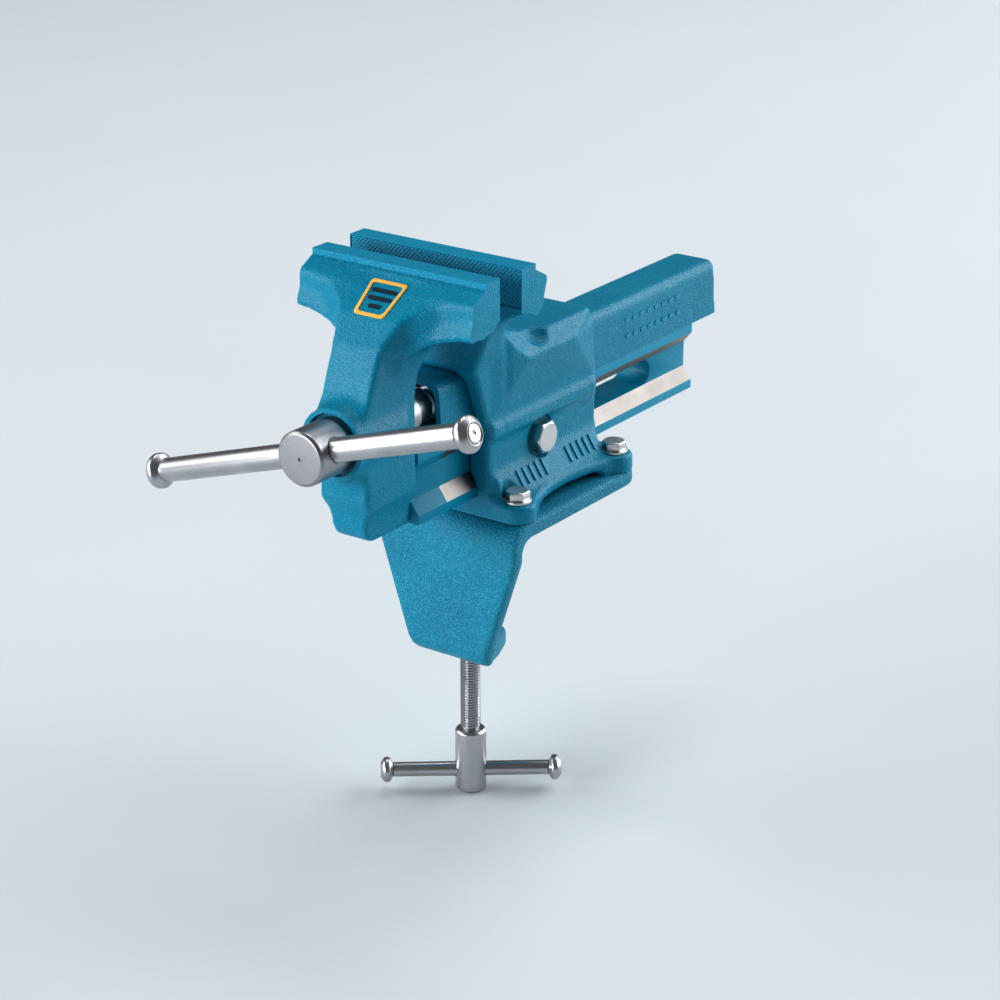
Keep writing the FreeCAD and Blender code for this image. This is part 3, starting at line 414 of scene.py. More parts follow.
# ---------------------------------------------------------------- finishes
class Finish:
    """A material being made: its shader and the nodes that feed it."""

    def __init__(self, name, **values):
        self.material = bpy.data.materials.new(name)
        self.material.use_nodes = True
        self.tree = self.material.node_tree
        self.shader = self.tree.nodes["Principled BSDF"]
        for socket, value in values.items():
            self.shader.inputs[socket.replace("_", " ")].default_value = value
        self.place = self.add("ShaderNodeTexCoord").outputs["Object"]

    def add(self, kind, inputs=None, **settings):
        node = self.tree.nodes.new(kind)
        for key, value in settings.items():
            setattr(node, key, value)
        for key, value in (inputs or {}).items():
            self.feed(node.inputs[key], value)
        return node

    def feed(self, socket, value):
        if isinstance(value, bpy.types.NodeSocket):
            self.tree.links.new(value, socket)
        else:
            socket.default_value = value

    def noise(self, per_metre, detail=2.0, roughness=0.5, stretch=(1, 1, 1)):
        """Noise with so many features a metre, drawn out along an axis if asked."""
        place = self.add("ShaderNodeMapping", {"Vector": self.place, "Scale": stretch})
        return self.add("ShaderNodeTexNoise", {
            "Vector": place.outputs[0], "Scale": per_metre, "Detail": detail,
            "Roughness": roughness}).outputs["Fac"]

    def spread(self, value, low, high, start=0.35, end=0.65):
        """Map a value onto a range."""
        return self.add("ShaderNodeMapRange", {
            "Value": value, "From Min": start, "From Max": end, "To Min": low,
            "To Max": high}).outputs["Result"]

    def mix(self, factor, first, second):
        """Blend two colours."""
        node = self.add("ShaderNodeMix", data_type="RGBA")
        for index, value in ((0, factor), (6, first), (7, second)):
            self.feed(node.inputs[index], value)
        return node.outputs[2]

    def bump(self, height, depth_mm, under=None):
        node = self.add("ShaderNodeBump", {"Height": height, "Distance": depth_mm * MM})
        if under is not None:
            self.feed(node.inputs["Normal"], under)
        return node.outputs["Normal"]

    def set(self, **links):
        for socket, value in links.items():
            self.feed(self.shader.inputs[socket.replace("_", " ")], value)
        return self.material


def sheet_colour(red, green, blue):
    """A colour given as display values from 0 to 255."""
    def linear(value):
        value /= 255
        return value / 12.92 if value < 0.04045 else ((value + 0.055) / 1.055) ** 2.4
    return linear(red), linear(green), linear(blue), 1.0


TEAL = sheet_colour(0, 137, 164)
# paler teal for worn edges and for the painted glints on the bead tops
TEAL_WEAR_AND_GLINT = sheet_colour(0, 158, 194)
TEAL_DEEP = sheet_colour(0, 120, 153)
# deep teal for the painted shade in inner corners
TEAL_PAINTED_SHADE = sheet_colour(0, 62, 84)


def make_cast_paint(name, bead, swell, roughness, per_metre=1050, glint=0.5, pale=TEAL_WEAR_AND_GLINT):
    """Enamel over sand-cast steel: fine beads on slow swells, paler on worn edges, with painted
    glints on the bead tops and painted shade in the inner corners.
    """
    finish = Finish(name, IOR=1.5)
    finish.shader.inputs["Specular IOR Level"].default_value = 0.3
    beads = finish.noise(per_metre, detail=1.0, roughness=0.4)
    swells = finish.noise(240, detail=2.0)
    clouds = finish.noise(24, detail=3.0)
    under = finish.bump(swells, swell)
    normal = finish.bump(beads, bead, under=under)
    edges = finish.add("ShaderNodeNewGeometry").outputs["Pointiness"]
    body = finish.mix(finish.spread(clouds, 0.0, 0.6), TEAL, TEAL_DEEP)
    # painted glints: the bead tops are mixed toward a paler colour, standing in for highlights
    glint_speckled = finish.mix(finish.spread(beads, 0.0, glint, start=0.45, end=0.65), body, pale)
    wear = finish.spread(edges, 0.0, 0.5, start=0.515, end=0.58)
    # painted shade: inner corners and creases (low pointiness) are darkened toward a deep teal
    shade = finish.spread(edges, 0.75, 0.0, start=0.41, end=0.49)
    worn = finish.mix(wear, glint_speckled, TEAL_WEAR_AND_GLINT)
    hollow = finish.mix(shade, worn, TEAL_PAINTED_SHADE)
    return finish.set(Base_Color=hollow, Normal=normal,
                      Roughness=finish.spread(swells, roughness - 0.05, roughness + 0.05))


def make_metal(name, colour, roughness, streaks, stretch, groove=0.004, smudge=0.04):
    """Bare metal with tool marks drawn out along one axis, and slow smudges."""
    finish = Finish(name, Metallic=1.0)
    marks = finish.noise(streaks, detail=3.0, roughness=0.6, stretch=stretch)
    smudges = finish.noise(45, detail=3.0)
    dull = tuple(c * 0.86 for c in colour[:3]) + (1.0,)
    rough = finish.add("ShaderNodeMath", {
        0: finish.spread(marks, roughness - 0.04, roughness + 0.04),
        1: finish.spread(smudges, 0.0, smudge)}, operation="ADD").outputs[0]
    return finish.set(Base_Color=finish.mix(finish.spread(smudges, 0.0, 1.0), colour, dull),
                      Roughness=rough, Normal=finish.bump(marks, groove))


def make_turned(name, colour, roughness, axis_at, rings=2600):
    """Bare metal faced on a lathe: fine rings about an axis along Y, and a fine mottle."""
    finish = Finish(name, Metallic=1.0)
    moved = finish.add("ShaderNodeVectorMath", {0: finish.place, 1: tuple(axis_at)},
                       operation="SUBTRACT").outputs[0]
    flat = finish.add("ShaderNodeVectorMath", {0: moved, 1: (1, 0, 1)},
                      operation="MULTIPLY").outputs[0]
    distance = finish.add("ShaderNodeVectorMath", {0: flat}, operation="LENGTH").outputs["Value"]
    along = finish.add("ShaderNodeSeparateXYZ", {0: moved}).outputs["Y"]
    place = finish.add("ShaderNodeCombineXYZ", {"X": distance, "Y": along}).outputs[0]
    marks = finish.add("ShaderNodeTexNoise", {"Vector": place, "Scale": rings, "Detail": 2.0,
                                              "Roughness": 0.6}).outputs["Fac"]
    mottle = finish.noise(900, detail=2.0)
    dull = tuple(c * 0.82 for c in colour[:3]) + (1.0,)
    return finish.set(
        Base_Color=finish.mix(finish.spread(mottle, 0.0, 0.8), colour, dull),
        Roughness=finish.spread(mottle, roughness - 0.03, roughness + 0.06),
        Normal=finish.bump(marks, 0.004))


def make_plain_paint(name, colour, roughness):
    finish = Finish(name)
    grain = finish.noise(500, detail=2.0)
    pale = tuple(min(1.0, c * 1.18) for c in colour[:3]) + (1.0,)
    return finish.set(Base_Color=finish.mix(finish.spread(grain, 0.0, 1.0), colour, pale),
                      Roughness=finish.spread(grain, roughness - 0.05, roughness + 0.05),
                      Normal=finish.bump(grain, 0.03))


STEEL = (0.56, 0.56, 0.58, 1.0)
head_axis = Vector((0, 0, AXIS_Z * MM))
cast_paint = make_cast_paint("cast_paint", bead=0.4, swell=0.2, roughness=0.3)
# the frame paint's paler glint colour is a painted highlight that lightens the clamp's plate
frame_paint = make_cast_paint("frame_paint", bead=1.0, swell=0.2, roughness=0.38, per_metre=950,
                              glint=0.4, pale=sheet_colour(80, 176, 206))
fine_paint = make_cast_paint("fine_paint", bead=0.12, swell=0.05, roughness=0.36)
border_paint = make_plain_paint("border_paint", sheet_colour(250, 186, 92), 0.4)
marking_paint = make_plain_paint("marking_paint", sheet_colour(10, 44, 58), 0.45)
ground_steel = make_metal("ground_steel", (0.3, 0.285, 0.275, 1.0), 0.42, 3000, (1, 0.02, 1))
satin_steel = make_metal("satin_steel", STEEL, 0.3, 5000, (0.05, 1, 1), groove=0.002)
turned_steel = make_turned("turned_steel", (0.42, 0.42, 0.44, 1.0), 0.33, head_axis)
screw_steel = make_metal("screw_steel", (0.52, 0.53, 0.55, 1.0), 0.3, 900, (1, 1, 0.1))
zinc = make_metal("zinc_plate", (0.68, 0.69, 0.68, 1.0), 0.34, 260, (1, 1, 1), groove=0.015)
dark_steel = make_metal("dark_steel", (0.09, 0.09, 0.1, 1.0), 0.4, 300, (1, 1, 1), groove=0.03)


# ---------------------------------------------------------------- pieces
def piece(name, form, body, finishes, replaces=(), sharp=42.0):
    """Make a named piece of a form, riding on a body and standing for some nodes."""
    bmesh.ops.scale(form, vec=(MM, MM, MM), verts=form.verts)
    mesh = bpy.data.meshes.new(name)
    form.to_mesh(mesh)
    form.free()
    for finish in finishes:
        mesh.materials.append(finish)
    mesh.shade_smooth()
    mesh.set_sharp_from_angle(angle=math.radians(sharp))
    item = bpy.data.objects.new(name, mesh)
    bpy.context.scene.collection.objects.link(item)
    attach(item, body)
    if replaces:
        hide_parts(*replaces)
    return item


def step_tool(face, way):
    """The space above the fall behind a jaw's machined strip."""
    start, end = face + STRIP_DEPTH * way, face + (STRIP_DEPTH + SLOPE_RUN) * way
    low = JAW_TOP - STRIP_STEP
    return prism("x", [(start, low), (end, low - SLOPE_DROP), (end + 6 * way, low - SLOPE_DROP),
                       (end + 6 * way, JAW_TOP + 20), (start, JAW_TOP + 20)], -FAR, FAR)


def guide_tool(gap):
    """The passage through the body for the rail and the cover, wider by a gap."""
    return prism("y", mirrored([
        (RAIL_HALF + gap, rail_low.z - gap), (RAIL_HALF + gap, LOWER_EDGE + gap * 0.4),
        (WEB_HALF + gap, LOWER_ROOT + gap * 0.4), (WEB_HALF + gap, UPPER_ROOT - gap * 0.4),
        (RAIL_HALF + gap, UPPER_EDGE - gap * 0.4), (RAIL_HALF + gap, rail_high.z - gap),
        (cover_high.x + gap * 1.1, rail_high.z - gap),
        (COVER_TOP_HALF + gap, cover_high.z - COVER_CORNER + gap * 0.5),
        (COVER_CROWN_HALF + gap, cover_high.z + gap)]), -FAR, FAR)


def knurled_slab(face, way):
    """A jaw face: rows of small pyramids on a thin slab set into the jaw."""
    pitch, depth, step, thick = 2.6, 0.7, 0.4, 2.0
    side_gap, end_gap = 0.6, 0.5
    columns = int(round((JAW_HALF - side_gap) * 2 / step))
    rows = int(round((JAW_TOP - 2 * end_gap - FACE_LOW) / step))
    form = bmesh.new()

    def tooth(distance):
        return abs((distance / pitch) % 1.0 - 0.5) * 2

    def point(column, row, back):
        x = (column - columns / 2) * step
        z = FACE_LOW + end_gap + row * step
        edge = column in (0, columns) or row in (0, rows)
        sunk = depth * (1 - (tooth(x + z) + tooth(x - z)) / 2)
        y = face + way * (thick if back else depth if edge else sunk)
        return form.verts.new((x, y, z))

    grid = [[point(c, r, False) for c in range(columns + 1)] for r in range(rows + 1)]
    for r in range(rows):
        for c in range(columns):
            form.faces.new((grid[r][c], grid[r][c + 1], grid[r + 1][c + 1], grid[r + 1][c]))
    rim = ([(c, 0) for c in range(columns)] + [(columns, r) for r in range(rows)]
           + [(c, rows) for c in range(columns, 0, -1)] + [(0, r) for r in range(rows, 0, -1)])
    front = [grid[r][c] for c, r in rim]
    back = [point(c, r, True) for c, r in rim]
    bridge(form, front, back)
    form.faces.new(back[::-1])
    bmesh.ops.recalc_face_normals(form, faces=form.faces)
    return form


def face_recess(face, way):
    """The shallow pocket that a knurled slab stands in."""
    side, lower, upper, depth = 0.5, 0.4, 0.6, 1.2
    front, back = sorted((face - way, face + way * depth))
    return block((-JAW_HALF + side, front, FACE_LOW + lower),
                 (JAW_HALF - side, back, JAW_TOP - upper))


def make_fixed_body():
    """The body's casting, cut for the guide, washers and cross bolt, and its jaw face."""
    planes = [((0, -1, 0), -FIXED_FACE, FACE_LOW - 1), ((0, 0, 1), JAW_TOP, 0),
              ((1, 0, 0), JAW_HALF, 0), ((-1, 0, 0), JAW_HALF, 0), ((0, 0, -1), -body_low.z, 0)]
    form = casting(node_surface("vise_body"), planes, fillet=6.0, rounding=2.0)
    tools = [step_tool(FIXED_FACE, 1), guide_tool(CLEAR + 0.1), face_recess(FIXED_FACE, 1)]
    for x, y in BOLT_PLACES:
        tools.append(rod(WASHER_RADIUS + SPOT_FACE, FLANGE_TOP, FLANGE_TOP + 30,
                         Vector((x, y, 0)), Z))
    for way in (-1, 1):
        tools.append(rod(SEAT_RADIUS, SEAT_X, SEAT_X + 30, Vector((0, CROSS_Y, CROSS_Z)), X * way))
    form = combined(form, tools)
    piece("vise_body_casting", form, "fixed", [cast_paint], ["vise_body"])
    piece("fixed_jaw_knurl", knurled_slab(FIXED_FACE, 1), "fixed", [fine_paint],
          sharp=20)


def make_moving_jaw():
    """The moving jaw's casting, bored for the spindle, and its jaw face."""
    planes = [((0, 1, 0), MOVING_FACE, FACE_LOW - 1), ((0, 0, 1), JAW_TOP, 0),
              ((1, 0, 0), JAW_HALF, 0), ((-1, 0, 0), JAW_HALF, 0), ((0, -1, 0), -jaw_low.y, 0)]
    form = casting(node_surface("moving_jaw"), planes, fillet=9.0, rounding=2.0)
    centre = Vector((0, jaw_low.y, AXIS_Z))
    tools = [step_tool(MOVING_FACE, -1), face_recess(MOVING_FACE, -1),
             rod(RECESS_RADIUS, -10, RECESS_DEPTH, centre, Y),
             rod(SPINDLE_RADIUS + CLEAR, -10, 80, centre, Y)]
    form = combined(form, tools)
    piece("moving_jaw_casting", form, "slide", [cast_paint], ["moving_jaw"])
    piece("moving_jaw_knurl", knurled_slab(MOVING_FACE, -1), "slide", [fine_paint],
          sharp=20)


def make_clamp_frame():
    """The bent frame that holds the vise to a bench, with its five holes."""
    form = casting(node_surface("clamp_frame"), [], fillet=6.0, rounding=2.4)
    tools = [rod(SCREW_BORE, clamp_low.z - 5, clamp_low.z + 30, Vector((0, SCREW_Y, 0)), Z)]
    tools += [rod(BOLT_BORE, -5, 20, Vector((x, y, 0)), Z, 32) for x, y in BOLT_PLACES]
    piece("clamp_frame_casting", combined(form, tools), "fixed", [frame_paint],
          ["clamp_frame"])


def slot_outline():
    """Side outline of the slot in the web, with half-round ends."""
    radius = (UPPER_ROOT - LOWER_ROOT) / 2
    outline = []
    for centre, first in ((SLOT_REAR - radius, -90), (SLOT_FRONT + radius, 90)):
        for angle in np.radians(np.linspace(first, first + 180, 25)):
            outline.append((centre + radius * math.cos(angle),
                            WEB_MIDDLE + radius * math.sin(angle)))
    return outline


def make_slide_rail():
    """The painted prism with its slot and its ground bevels."""
    outline = mirrored([
        (RAIL_HALF, rail_low.z), (RAIL_HALF, LOWER_EDGE), (WEB_HALF, LOWER_ROOT),
        (WEB_HALF, UPPER_ROOT), (RAIL_HALF, UPPER_EDGE), (RAIL_HALF, rail_high.z)])
    form = prism("y", outline, rail_low.y, rail_high.y)
    form = combined(form, [
        prism("x", slot_outline(), -FAR, FAR),
        block((-TONGUE_GAP_HALF, SLOT_FRONT, WEB_MIDDLE), (TONGUE_GAP_HALF, SLOT_REAR, FAR))])
    form = bevelled(form, 0.5)
    bmesh.ops.bisect_plane(form, geom=form.verts[:] + form.edges[:] + form.faces[:],
                           plane_co=(0, GROUND_FRONT, 0), plane_no=Y)
    bmesh.ops.recalc_face_normals(form, faces=form.faces)
    for face in form.faces:
        on_bevel = abs(face.normal.x) > 0.5 and abs(face.normal.z) > 0.4
        centre = face.calc_center_median()
        between = LOWER_EDGE < centre.z < LOWER_ROOT or UPPER_ROOT < centre.z < UPPER_EDGE
        face.material_index = 1 if on_bevel and between and centre.y > GROUND_FRONT else 0
    piece("slide_rail_prism", form, "slide", [fine_paint, ground_steel],
          ["slide_rail"], sharp=25)


def cover_section(low):
    """The cover's outline, drawn down to a height."""
    return mirrored([(cover_high.x, low), (COVER_TOP_HALF, cover_high.z - COVER_CORNER),
                     (COVER_CROWN_HALF, cover_high.z)])


def make_spindle_cover():
    """The long box over the rail: open below as far as the rail goes, floored behind it."""
    blank = prism("y", cover_section(cover_low.z - SPARE), cover_low.y - SPARE, cover_high.y)
    planes = [((0, -1, 0), -cover_low.y, FAR), ((0, 0, -1), -cover_low.z, FAR)]
    form = casting(form_surface(blank), planes, fillet=0, rounding=3.4)
    wall = COVER_WALL
    inner = [(cover_high.x - wall, cover_low.z - 5),
             (COVER_TOP_HALF - wall, cover_high.z - wall - COVER_CORNER),
             (COVER_TOP_HALF - wall - 4, cover_high.z - wall)]
    rear_inner = [(cover_high.x - wall, cover_low.z + wall)] + inner[1:]
    form = combined(form, [
        prism("y", eased(mirrored(inner), 2.5, closed=True), cover_low.y - 5, rail_high.y),
        prism("y", eased(mirrored(rear_inner), 2.0, closed=True), rail_high.y - 5,
              cover_high.y - wall - 1)])
    piece("spindle_cover_shell", form, "slide", [cast_paint], ["spindle_cover"])


def hexagon(flats, height):
    """A hexagonal head standing on Z = 0, with its top corners chamfered."""
    radius = flats / math.sqrt(3)
    outline = [(radius * math.cos(math.radians(30 + 60 * k)),
                radius * math.sin(math.radians(30 + 60 * k))) for k in range(6)]
    top = flats / 2 * 0.94               # radius of the flat inside the chamfer
    slope = (radius + 1 - top) * math.tan(math.radians(30))
    cone = lathe([(-1, 0), (-1, radius + 1), (height - slope, radius + 1), (height, top),
                  (height, 0)], Vector((0, 0, 0)), Z)
    form = combined(prism("z", outline, 0, height), [cone], "INTERSECT")
    return bevelled(form, 0.25, angle=40)


def moved(form, spot, axis=Z):
    """A form that stands on Z = 0, taken to a spot and turned to stand along an axis."""
    turn = Z.rotation_difference(axis).to_matrix().to_4x4()
    bmesh.ops.transform(form, matrix=Matrix.Translation(spot) @ turn, verts=form.verts)
    return form


def washer(outer, inner, thick, spot):
    profile = eased([(0, inner), (0, outer), (thick, outer), (thick, inner)], 0.35, closed=True,
                    steps=3)
    return lathe(profile, Vector(spot), Z, ring=True)


def make_base_bolts():
    """Four hexagon bolts and their washers."""
    heads, rings = [], []
    thick = washers_high.z - washers_low.z
    for x, y in BOLT_PLACES:
        seat = Vector((x, y, washers_high.z))
        heads.append(moved(hexagon(BOLT_FLATS, bolts_high.z - seat.z), seat))
        heads.append(rod(BOLT_RADIUS, bolts_low.z, seat.z + 1, Vector((x, y, 0)), Z, 48))
        rings.append(washer(WASHER_RADIUS, WASHER_BORE, thick, (x, y, washers_low.z)))
    piece("base_bolt_set", joined(heads), "fixed", [zinc], ["base_bolts"], sharp=25)
    piece("base_washer_set", joined(rings), "fixed", [zinc], ["base_washers"])


def make_cross_bolt():
    """The bolt across the body that holds the spindle nut, and the nut on its end."""
    low, high = corners("adjusting_bolt")
    head = moved(hexagon(CROSS_FLATS, high.x - SEAT_X), Vector((SEAT_X, CROSS_Y, CROSS_Z)), X)
    origin = Vector((0, CROSS_Y, CROSS_Z))
    shank_end = -30.0
    shank = rod(CROSS_RADIUS, shank_end, SEAT_X + 1, origin, X)
    thread = threaded(CROSS_RADIUS, CROSS_THREAD, FINE_PITCH, low.x, shank_end + 1, origin, X)
    piece("adjusting_bolt_hex", joined([head, shank, thread]), "fixed", [zinc],
          ["adjusting_bolt"], sharp=25)
    low, high = corners("adjusting_nut")
    nut = moved(hexagon(CROSS_FLATS, high.x - low.x), Vector((high.x, CROSS_Y, CROSS_Z)), -X)
    bore = rod(CROSS_BORE, -FAR, FAR, origin, X)
    piece("adjusting_nut_hex", combined(nut, [bore]), "fixed", [zinc],
          ["adjusting_nut"], sharp=25)


def make_spindle_nut():
    """The square nut under the cover, with its tongue and screw hole."""
    low, high = corners("spindle_nut")
    section = mirrored([(high.x, rail_high.z + 0.6), (high.x, high.z - 8), (high.x - 9, high.z)])
    form = prism("y", section, low.y, high.y)
    half_long, half_wide = 9.0, 4.7      # of the tongue that stands in the rail's slot
    bevel = 4.0                          # clears the round ends of the slot
    front, rear, top = CROSS_Y - half_long, CROSS_Y + half_long, rail_high.z + 3
    tongue = prism("x", [(front + bevel, low.z), (rear - bevel, low.z), (rear, low.z + bevel),
                         (rear, top), (front, top), (front, low.z + bevel)],
                   -half_wide, half_wide)
    form = combined(form, [tongue], "UNION")
    form = combined(form, [rod(SPINDLE_RADIUS + 0.05, -FAR, FAR, Vector((0, 0, AXIS_Z)), Y),
                           rod(CROSS_BORE, -FAR, FAR, Vector((0, CROSS_Y, CROSS_Z)), X)])
    piece("spindle_nut_block", bevelled(form, 0.4), "fixed", [dark_steel],
          ["spindle_nut"], sharp=25)


def make_badge():
    """The raised border on the sloping front of the jaw, with plain bars in it."""
    low, high = corners("badge_frame")
    place = Matrix.Translation((low + high) / 2) @ Matrix.Rotation(BADGE_SLOPE, 4, "X")
    upper_half, lower_half, tall_half = 12.5, 10.5, 12.75
    rim, thick_half = 2.0, 0.7

    def trapezoid(inset):
        upper, lower, tall = upper_half - inset, lower_half - inset, tall_half - inset
        return eased([(-upper, tall), (upper, tall), (lower, -tall), (-lower, -tall)], 2.6,
                     closed=True)

    border = combined(prism("z", trapezoid(0), -thick_half, thick_half),
                      [prism("z", trapezoid(rim), -3, 3)])
    border = bevelled(border, 0.3, angle=50)
    bmesh.ops.transform(border, matrix=place, verts=border.verts)
    piece("badge_border", border, "slide", [border_paint], ["badge_frame"])
    bars = []
    for height, half in ((5.6, 8.6), (0.0, 8.0), (-5.6, 4.2)):
        low, high = height - 1.3, height + 1.3
        outline = eased([(-half, low), (half, low), (half, high), (-half, high)], 1.2,
                        closed=True)
        bars.append(prism("z", outline, -0.6, 0.35))
    bars = joined(bars)
    bmesh.ops.transform(bars, matrix=place, verts=bars.verts)
    piece("badge_bars", bars, "slide", [marking_paint])


# ---------------------------------------------------------------- spindle and handles
def make_spindle():
    """The screw with its plain journal, and the pinned collar behind the jaw's hub."""
    low, high = corners("main_spindle")
    origin = Vector((0, 0, AXIS_Z))
    journal_end = corners("thrust_collar")[1].y + 14
    root, run_out = SPINDLE_RADIUS - SPINDLE_THREAD, journal_end + SPINDLE_THREAD
    journal = lathe(eased([(low.y, 0), (low.y, SPINDLE_RADIUS), (journal_end, SPINDLE_RADIUS),
                           (run_out, root), (run_out, 0)], 0.5), origin, Y)
    thread = threaded(SPINDLE_RADIUS, SPINDLE_THREAD, SPINDLE_PITCH, journal_end, high.y,
                      origin, Y)
    pin_low, pin_high = corners("collar_pin")
    pin_y = (pin_low.y + pin_high.y) / 2
    piece("main_spindle_screw", joined([journal, thread]), "spindle", [screw_steel],
          ["main_spindle"])
    ring_low, ring_high = corners("thrust_collar")
    outer = ring_high.x
    inner = SPINDLE_RADIUS + 0.02
    profile = eased([(ring_low.y, inner), (ring_low.y, outer), (ring_high.y, outer),
                     (ring_high.y, inner)], 0.8, closed=True)
    ring = combined(lathe(profile, origin, Y, ring=True),
                    [rod(PIN_BORE, 0, FAR, Vector((0, pin_y, 0)), Z)])
    piece("thrust_collar_ring", ring, "spindle", [turned_steel],
          ["thrust_collar"])
    pin = lathe(eased([(pin_low.z, 0), (pin_low.z, PIN_RADIUS), (pin_high.z, PIN_RADIUS),
                       (pin_high.z, 0)], 0.5), Vector((0, pin_y, 0)), Z, 32)
    piece("collar_pin_rod", pin, "spindle", [dark_steel], ["collar_pin"])


def make_spindle_head():
    """The turned head, cross-bored for the handle, with a lathe centre in its face."""
    low, high = corners("spindle_head")
    radius = high.x
    origin = Vector((0, 0, AXIS_Z))
    profile = eased([(low.y, 0), (low.y, radius - 1.5), (low.y + 1.5, radius),
                     (high.y - 1.2, radius), (high.y, radius - 1.2), (high.y, 0)], 0.6)
    axis = Vector((math.cos(BAR_TILT), 0, math.sin(BAR_TILT)))
    bore = rod(MAIN_HANDLE["radius"] + CLEAR, -FAR, FAR, Vector((0, BAR_Y, AXIS_Z)), axis)
    mark = lathe([(-5, 0), (-5, 3.2), (1.2, 0.6), (1.2, 0)], Vector((0, low.y, AXIS_Z)), Y, 48)
    form = combined(lathe(profile, origin, Y, 128), [bore, mark])
    piece("spindle_head_turned", form, "spindle", [turned_steel],
          ["spindle_head"], sharp=30)


def make_handle(nodes, names, body, centre, axis, radius, knob_radius, knob_length, half):
    """A bar with a turned ring knob riveted on each end."""
    bar_node, left, right = nodes
    spigot = radius - 1.5
    inner = half - knob_length
    dome = 0.9
    profile = []
    for way in (-1, 1):
        end = [(way * inner, radius), (way * inner, spigot), (way * (half - 0.6), spigot),
               (way * (half - 0.1), spigot - dome), (way * (half - 0.5), 1.3),
               (way * (half - 1.4), 0)]
        profile = end[::-1] if way < 0 else profile + end
    piece(names[0], lathe(eased(profile, 0.4, steps=3), centre, axis), body, [satin_steel],
          [bar_node], sharp=35)
    for name, node, way in ((names[1], left, -1), (names[2], right, 1)):
        edge = knob_radius * 0.3
        ring = [(inner, spigot + 0.02), (inner, knob_radius - edge * 1.6),
                (inner + edge, knob_radius), (half - edge, knob_radius),
                (half, knob_radius - edge * 1.2), (half, spigot + 0.9), (half - 0.8, spigot + 0.02)]
        form = lathe(eased([(way * a, r) for a, r in ring], 1.3, closed=True), centre, axis,
                     ring=True)
        piece(name, form, body, [satin_steel], [node], sharp=35)


def make_main_handle():
    axis = Vector((math.cos(BAR_TILT), 0, math.sin(BAR_TILT)))
    centre = Vector((0, BAR_Y, AXIS_Z)) - axis * BAR_SHIFT
    make_handle(("handle_bar", "handle_knob_left", "handle_knob_right"),
                ("handle_bar_rod", "handle_ring_left", "handle_ring_right"), "main_handle",
                centre, axis, **MAIN_HANDLE)


def make_clamp_screw():
    """The clamp's screw, its hub and the short handle through the hub."""
    low, high = corners("clamp_screw")
    origin = Vector((0, SCREW_Y, 0))
    thread = threaded(SCREW_RADIUS, SCREW_THREAD, FINE_PITCH, low.z, high.z - 6.5, origin, Z)
    tip = lathe(eased([(high.z - 9, 0), (high.z - 9, 4.4), (high.z, 4.4), (high.z, 0)], 0.8),
                origin, Z, 48)
    piece("clamp_screw_thread", joined([thread, tip]), "clamp_spindle", [screw_steel],
          ["clamp_screw"])
    low, high = corners("clamp_hub")
    radius = high.x
    axis = Vector((math.cos(CLAMP_BAR_TURN), math.sin(CLAMP_BAR_TURN), 0))
    profile = eased([(low.z, 0), (low.z, radius - 1.3), (low.z + 1.3, radius),
                     (high.z - 1.3, radius), (high.z, radius - 1.3), (high.z, 0)], 0.5)
    bar_low, bar_high = corners("clamp_handle_bar")
    centre = Vector((0, SCREW_Y, (bar_low.z + bar_high.z) / 2))
    bore = rod(CLAMP_HANDLE["radius"] + CLEAR, -FAR, FAR, centre, axis)
    piece("clamp_hub_turned", combined(lathe(profile, origin, Z), [bore]), "clamp_spindle",
          [satin_steel], ["clamp_hub"], sharp=30)
    make_handle(("clamp_handle_bar", "clamp_knob_left", "clamp_knob_right"),
                ("clamp_bar_rod", "clamp_ring_left", "clamp_ring_right"), "clamp_handle",
                centre, axis, **CLAMP_HANDLE)


def make_pressure_pad():
    """The swivel pad on the end of the clamp screw, hollow below for the screw's tip."""
    low, high = corners("pressure_pad")
    radius = high.x
    neck = 4.8
    profile = eased([(low.z, neck), (low.z, radius - 4), (low.z + 3, radius),
                     (high.z - 1, radius), (high.z, radius - 1), (high.z, 0)], 0.6)
    form = lathe([(low.z + 5, 0), (low.z + 5, neck)] + profile, Vector((0, SCREW_Y, 0)), Z)
    piece("pressure_pad_swivel", form, "clamp_pad", [dark_steel], ["pressure_pad"])


# ---------------------------------------------------------------- raised marks
def pill(length, width, height):
    """A plain bar with rounded ends, which starts a little way below Z = 0."""
    outline = eased([(-length / 2, -width / 2), (length / 2, -width / 2),
                     (length / 2, width / 2), (-length / 2, width / 2)], width * 0.48, closed=True)
    return prism("z", outline, -0.8, height)


def bar_row(spots, lean, length, width, height):
    """Plain raised bars standing at some places, turned to lie on a surface."""
    forms = []
    for spot in spots:
        form = pill(length, width, height)
        bmesh.ops.transform(form, matrix=Matrix.Translation(spot) @ lean, verts=form.verts)
        forms.append(form)
    return forms


def facing(normal):
    """Turns a form so that its Z follows a normal and its X runs along the vise."""
    normal = Vector(normal).normalized()
    return Matrix((Y, normal.cross(Y), normal)).transposed().to_4x4()


def make_slope_ribs():
    """Groups of plain raised bars on the sloping band above the base flange."""
    run, rise, spacing = SLOPE_FOOT - WALL_HALF, SLOPE_HIGH, 6.2
    spots = [Vector((WALL_HALF + run / 2, start + k * spacing, FLANGE_TOP + rise / 2))
             for start in (-38.0, 12.0) for k in range(5)]
    bars = bar_row(spots, facing((rise, 0, run)), length=2.4, width=10.5, height=0.9)
    piece("slope_ribs", joined(bars), "fixed", [cast_paint])


def make_cover_dashes():
    """Two rows of plain raised dashes on the cover's right side."""
    rise = cover_high.z - COVER_CORNER - cover_low.z
    run = cover_high.x - COVER_TOP_HALF
    start, spacing = 97.0, 8.2
    spots = []
    for height in (21.6, 11.6):
        x = cover_high.x - run * height / rise
        spots += [Vector((x, start + k * spacing, cover_low.z + height)) for k in range(8)]
    bars = bar_row(spots, facing((rise, 0, run)), length=5.4, width=2.8, height=0.26)
    piece("cover_dashes", joined(bars), "slide", [cast_paint])


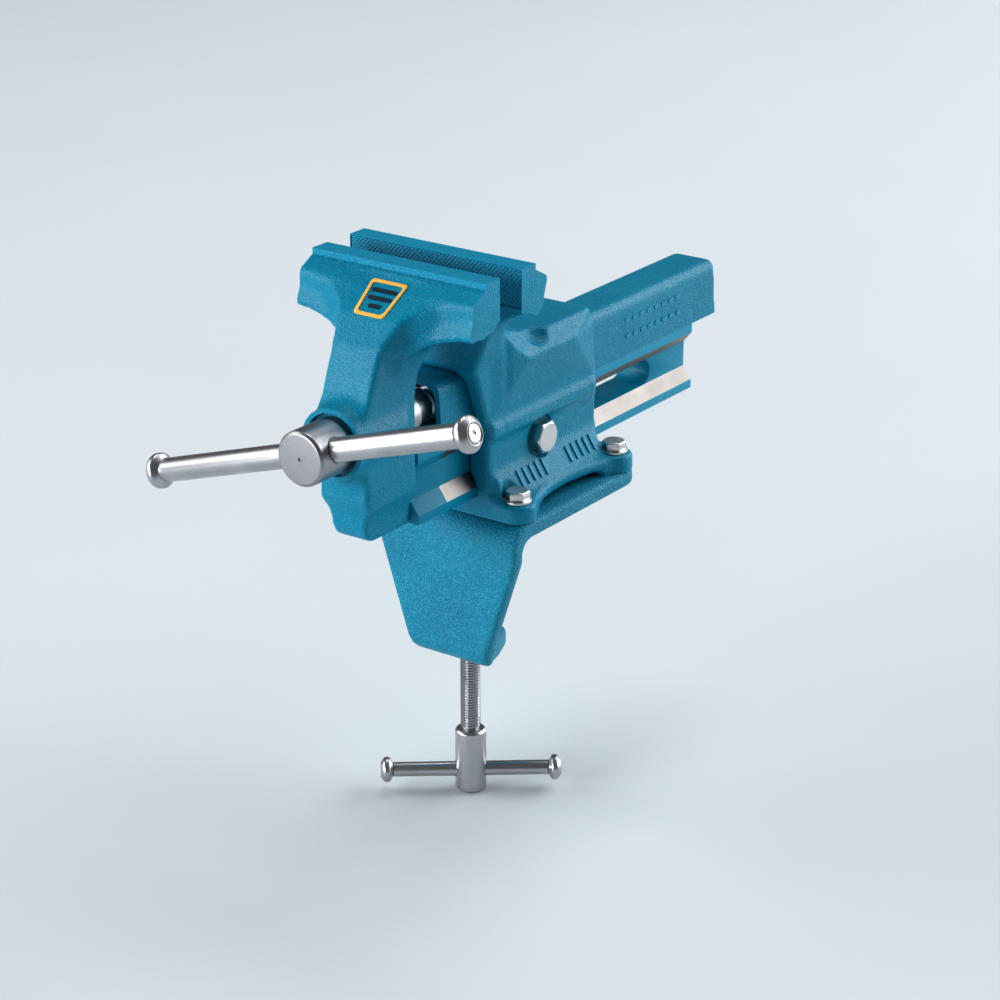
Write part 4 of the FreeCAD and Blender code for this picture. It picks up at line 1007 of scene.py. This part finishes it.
# ---------------------------------------------------------------- the stage
def make_stage():
    """A pale floor just under the lowest point of the vise."""
    height = CAD_BOX[0][2] - 0.0005
    finish = Finish("floor", Roughness=0.9)
    clouds = finish.noise(3.0)
    pale = sheet_colour(210, 217, 221)
    paler = sheet_colour(214, 221, 225)
    finish.set(Base_Color=finish.mix(clouds, pale, paler))
    form = bmesh.new()
    half = 6.0
    form.faces.new([form.verts.new((x, y, height)) for x, y in
                    ((-half, -half), (half, -half), (half, half), (-half, half))])
    mesh = bpy.data.meshes.new("floor")
    form.to_mesh(mesh)
    form.free()
    mesh.materials.append(finish.material)
    floor = bpy.data.objects.new("floor", mesh)
    bpy.context.scene.collection.objects.link(floor)


def add_light(name, direction, distance, size, power):
    """A round soft box that faces the vise."""
    light = bpy.data.lights.new(name, "AREA")
    light.shape = "DISK"
    light.size = size
    light.energy = power
    item = bpy.data.objects.new(name, light)
    direction = Vector(direction).normalized()
    item.location = direction * distance
    item.rotation_euler = direction.to_track_quat("Z", "Y").to_euler()
    bpy.context.scene.collection.objects.link(item)


def make_lights():
    add_light("rear_key", (0.52, 0.76, 0.36), distance=5.0, size=6.4, power=340.0)
    add_light("left_soft", (-0.78, -0.42, 0.46), distance=5.0, size=4.0, power=95.0)
    add_light("overhead", (-0.1, 0.35, 0.93), distance=5.0, size=2.4, power=70.0)
    add_light("front_fill", (-0.35, -0.9, 0.15), distance=3.5, size=2.2, power=100.0)
    world = bpy.data.worlds.new("studio")
    world.use_nodes = True
    background = world.node_tree.nodes["Background"]
    background.inputs["Color"].default_value = (0.95, 0.98, 1.0, 1.0)
    background.inputs["Strength"].default_value = 0.16
    bpy.context.scene.world = world


def make_camera():
    """The camera, and how the picture's tones are shown."""
    camera = bpy.data.cameras.new("camera")
    camera.sensor_width = 36.0
    camera.lens = 103.25
    azimuth, elevation, roll = (math.radians(a) for a in (35.59, 21.63, -0.11))
    direction = Vector((-math.sin(azimuth) * math.cos(elevation),
                        math.cos(azimuth) * math.cos(elevation), -math.sin(elevation)))
    item = bpy.data.objects.new("camera", camera)
    item.location = Vector((0.92754, -1.31034, 0.63308))
    turn = direction.to_track_quat("-Z", "Y").to_matrix() @ Matrix.Rotation(roll, 3, "Z")
    item.rotation_euler = turn.to_euler()
    bpy.context.scene.collection.objects.link(item)
    bpy.context.scene.camera = item
    view = bpy.context.scene.view_settings
    view.view_transform = "Standard"
    view.gamma = 0.8
    view.exposure = 0.1


make_camera()
make_stage()
make_lights()
make_fixed_body()
make_moving_jaw()
make_clamp_frame()
make_slide_rail()
make_spindle_cover()
make_base_bolts()
make_cross_bolt()
make_spindle_nut()
make_badge()
make_spindle()
make_spindle_head()
make_main_handle()
make_clamp_screw()
make_pressure_pad()
make_slope_ribs()
make_cover_dashes()
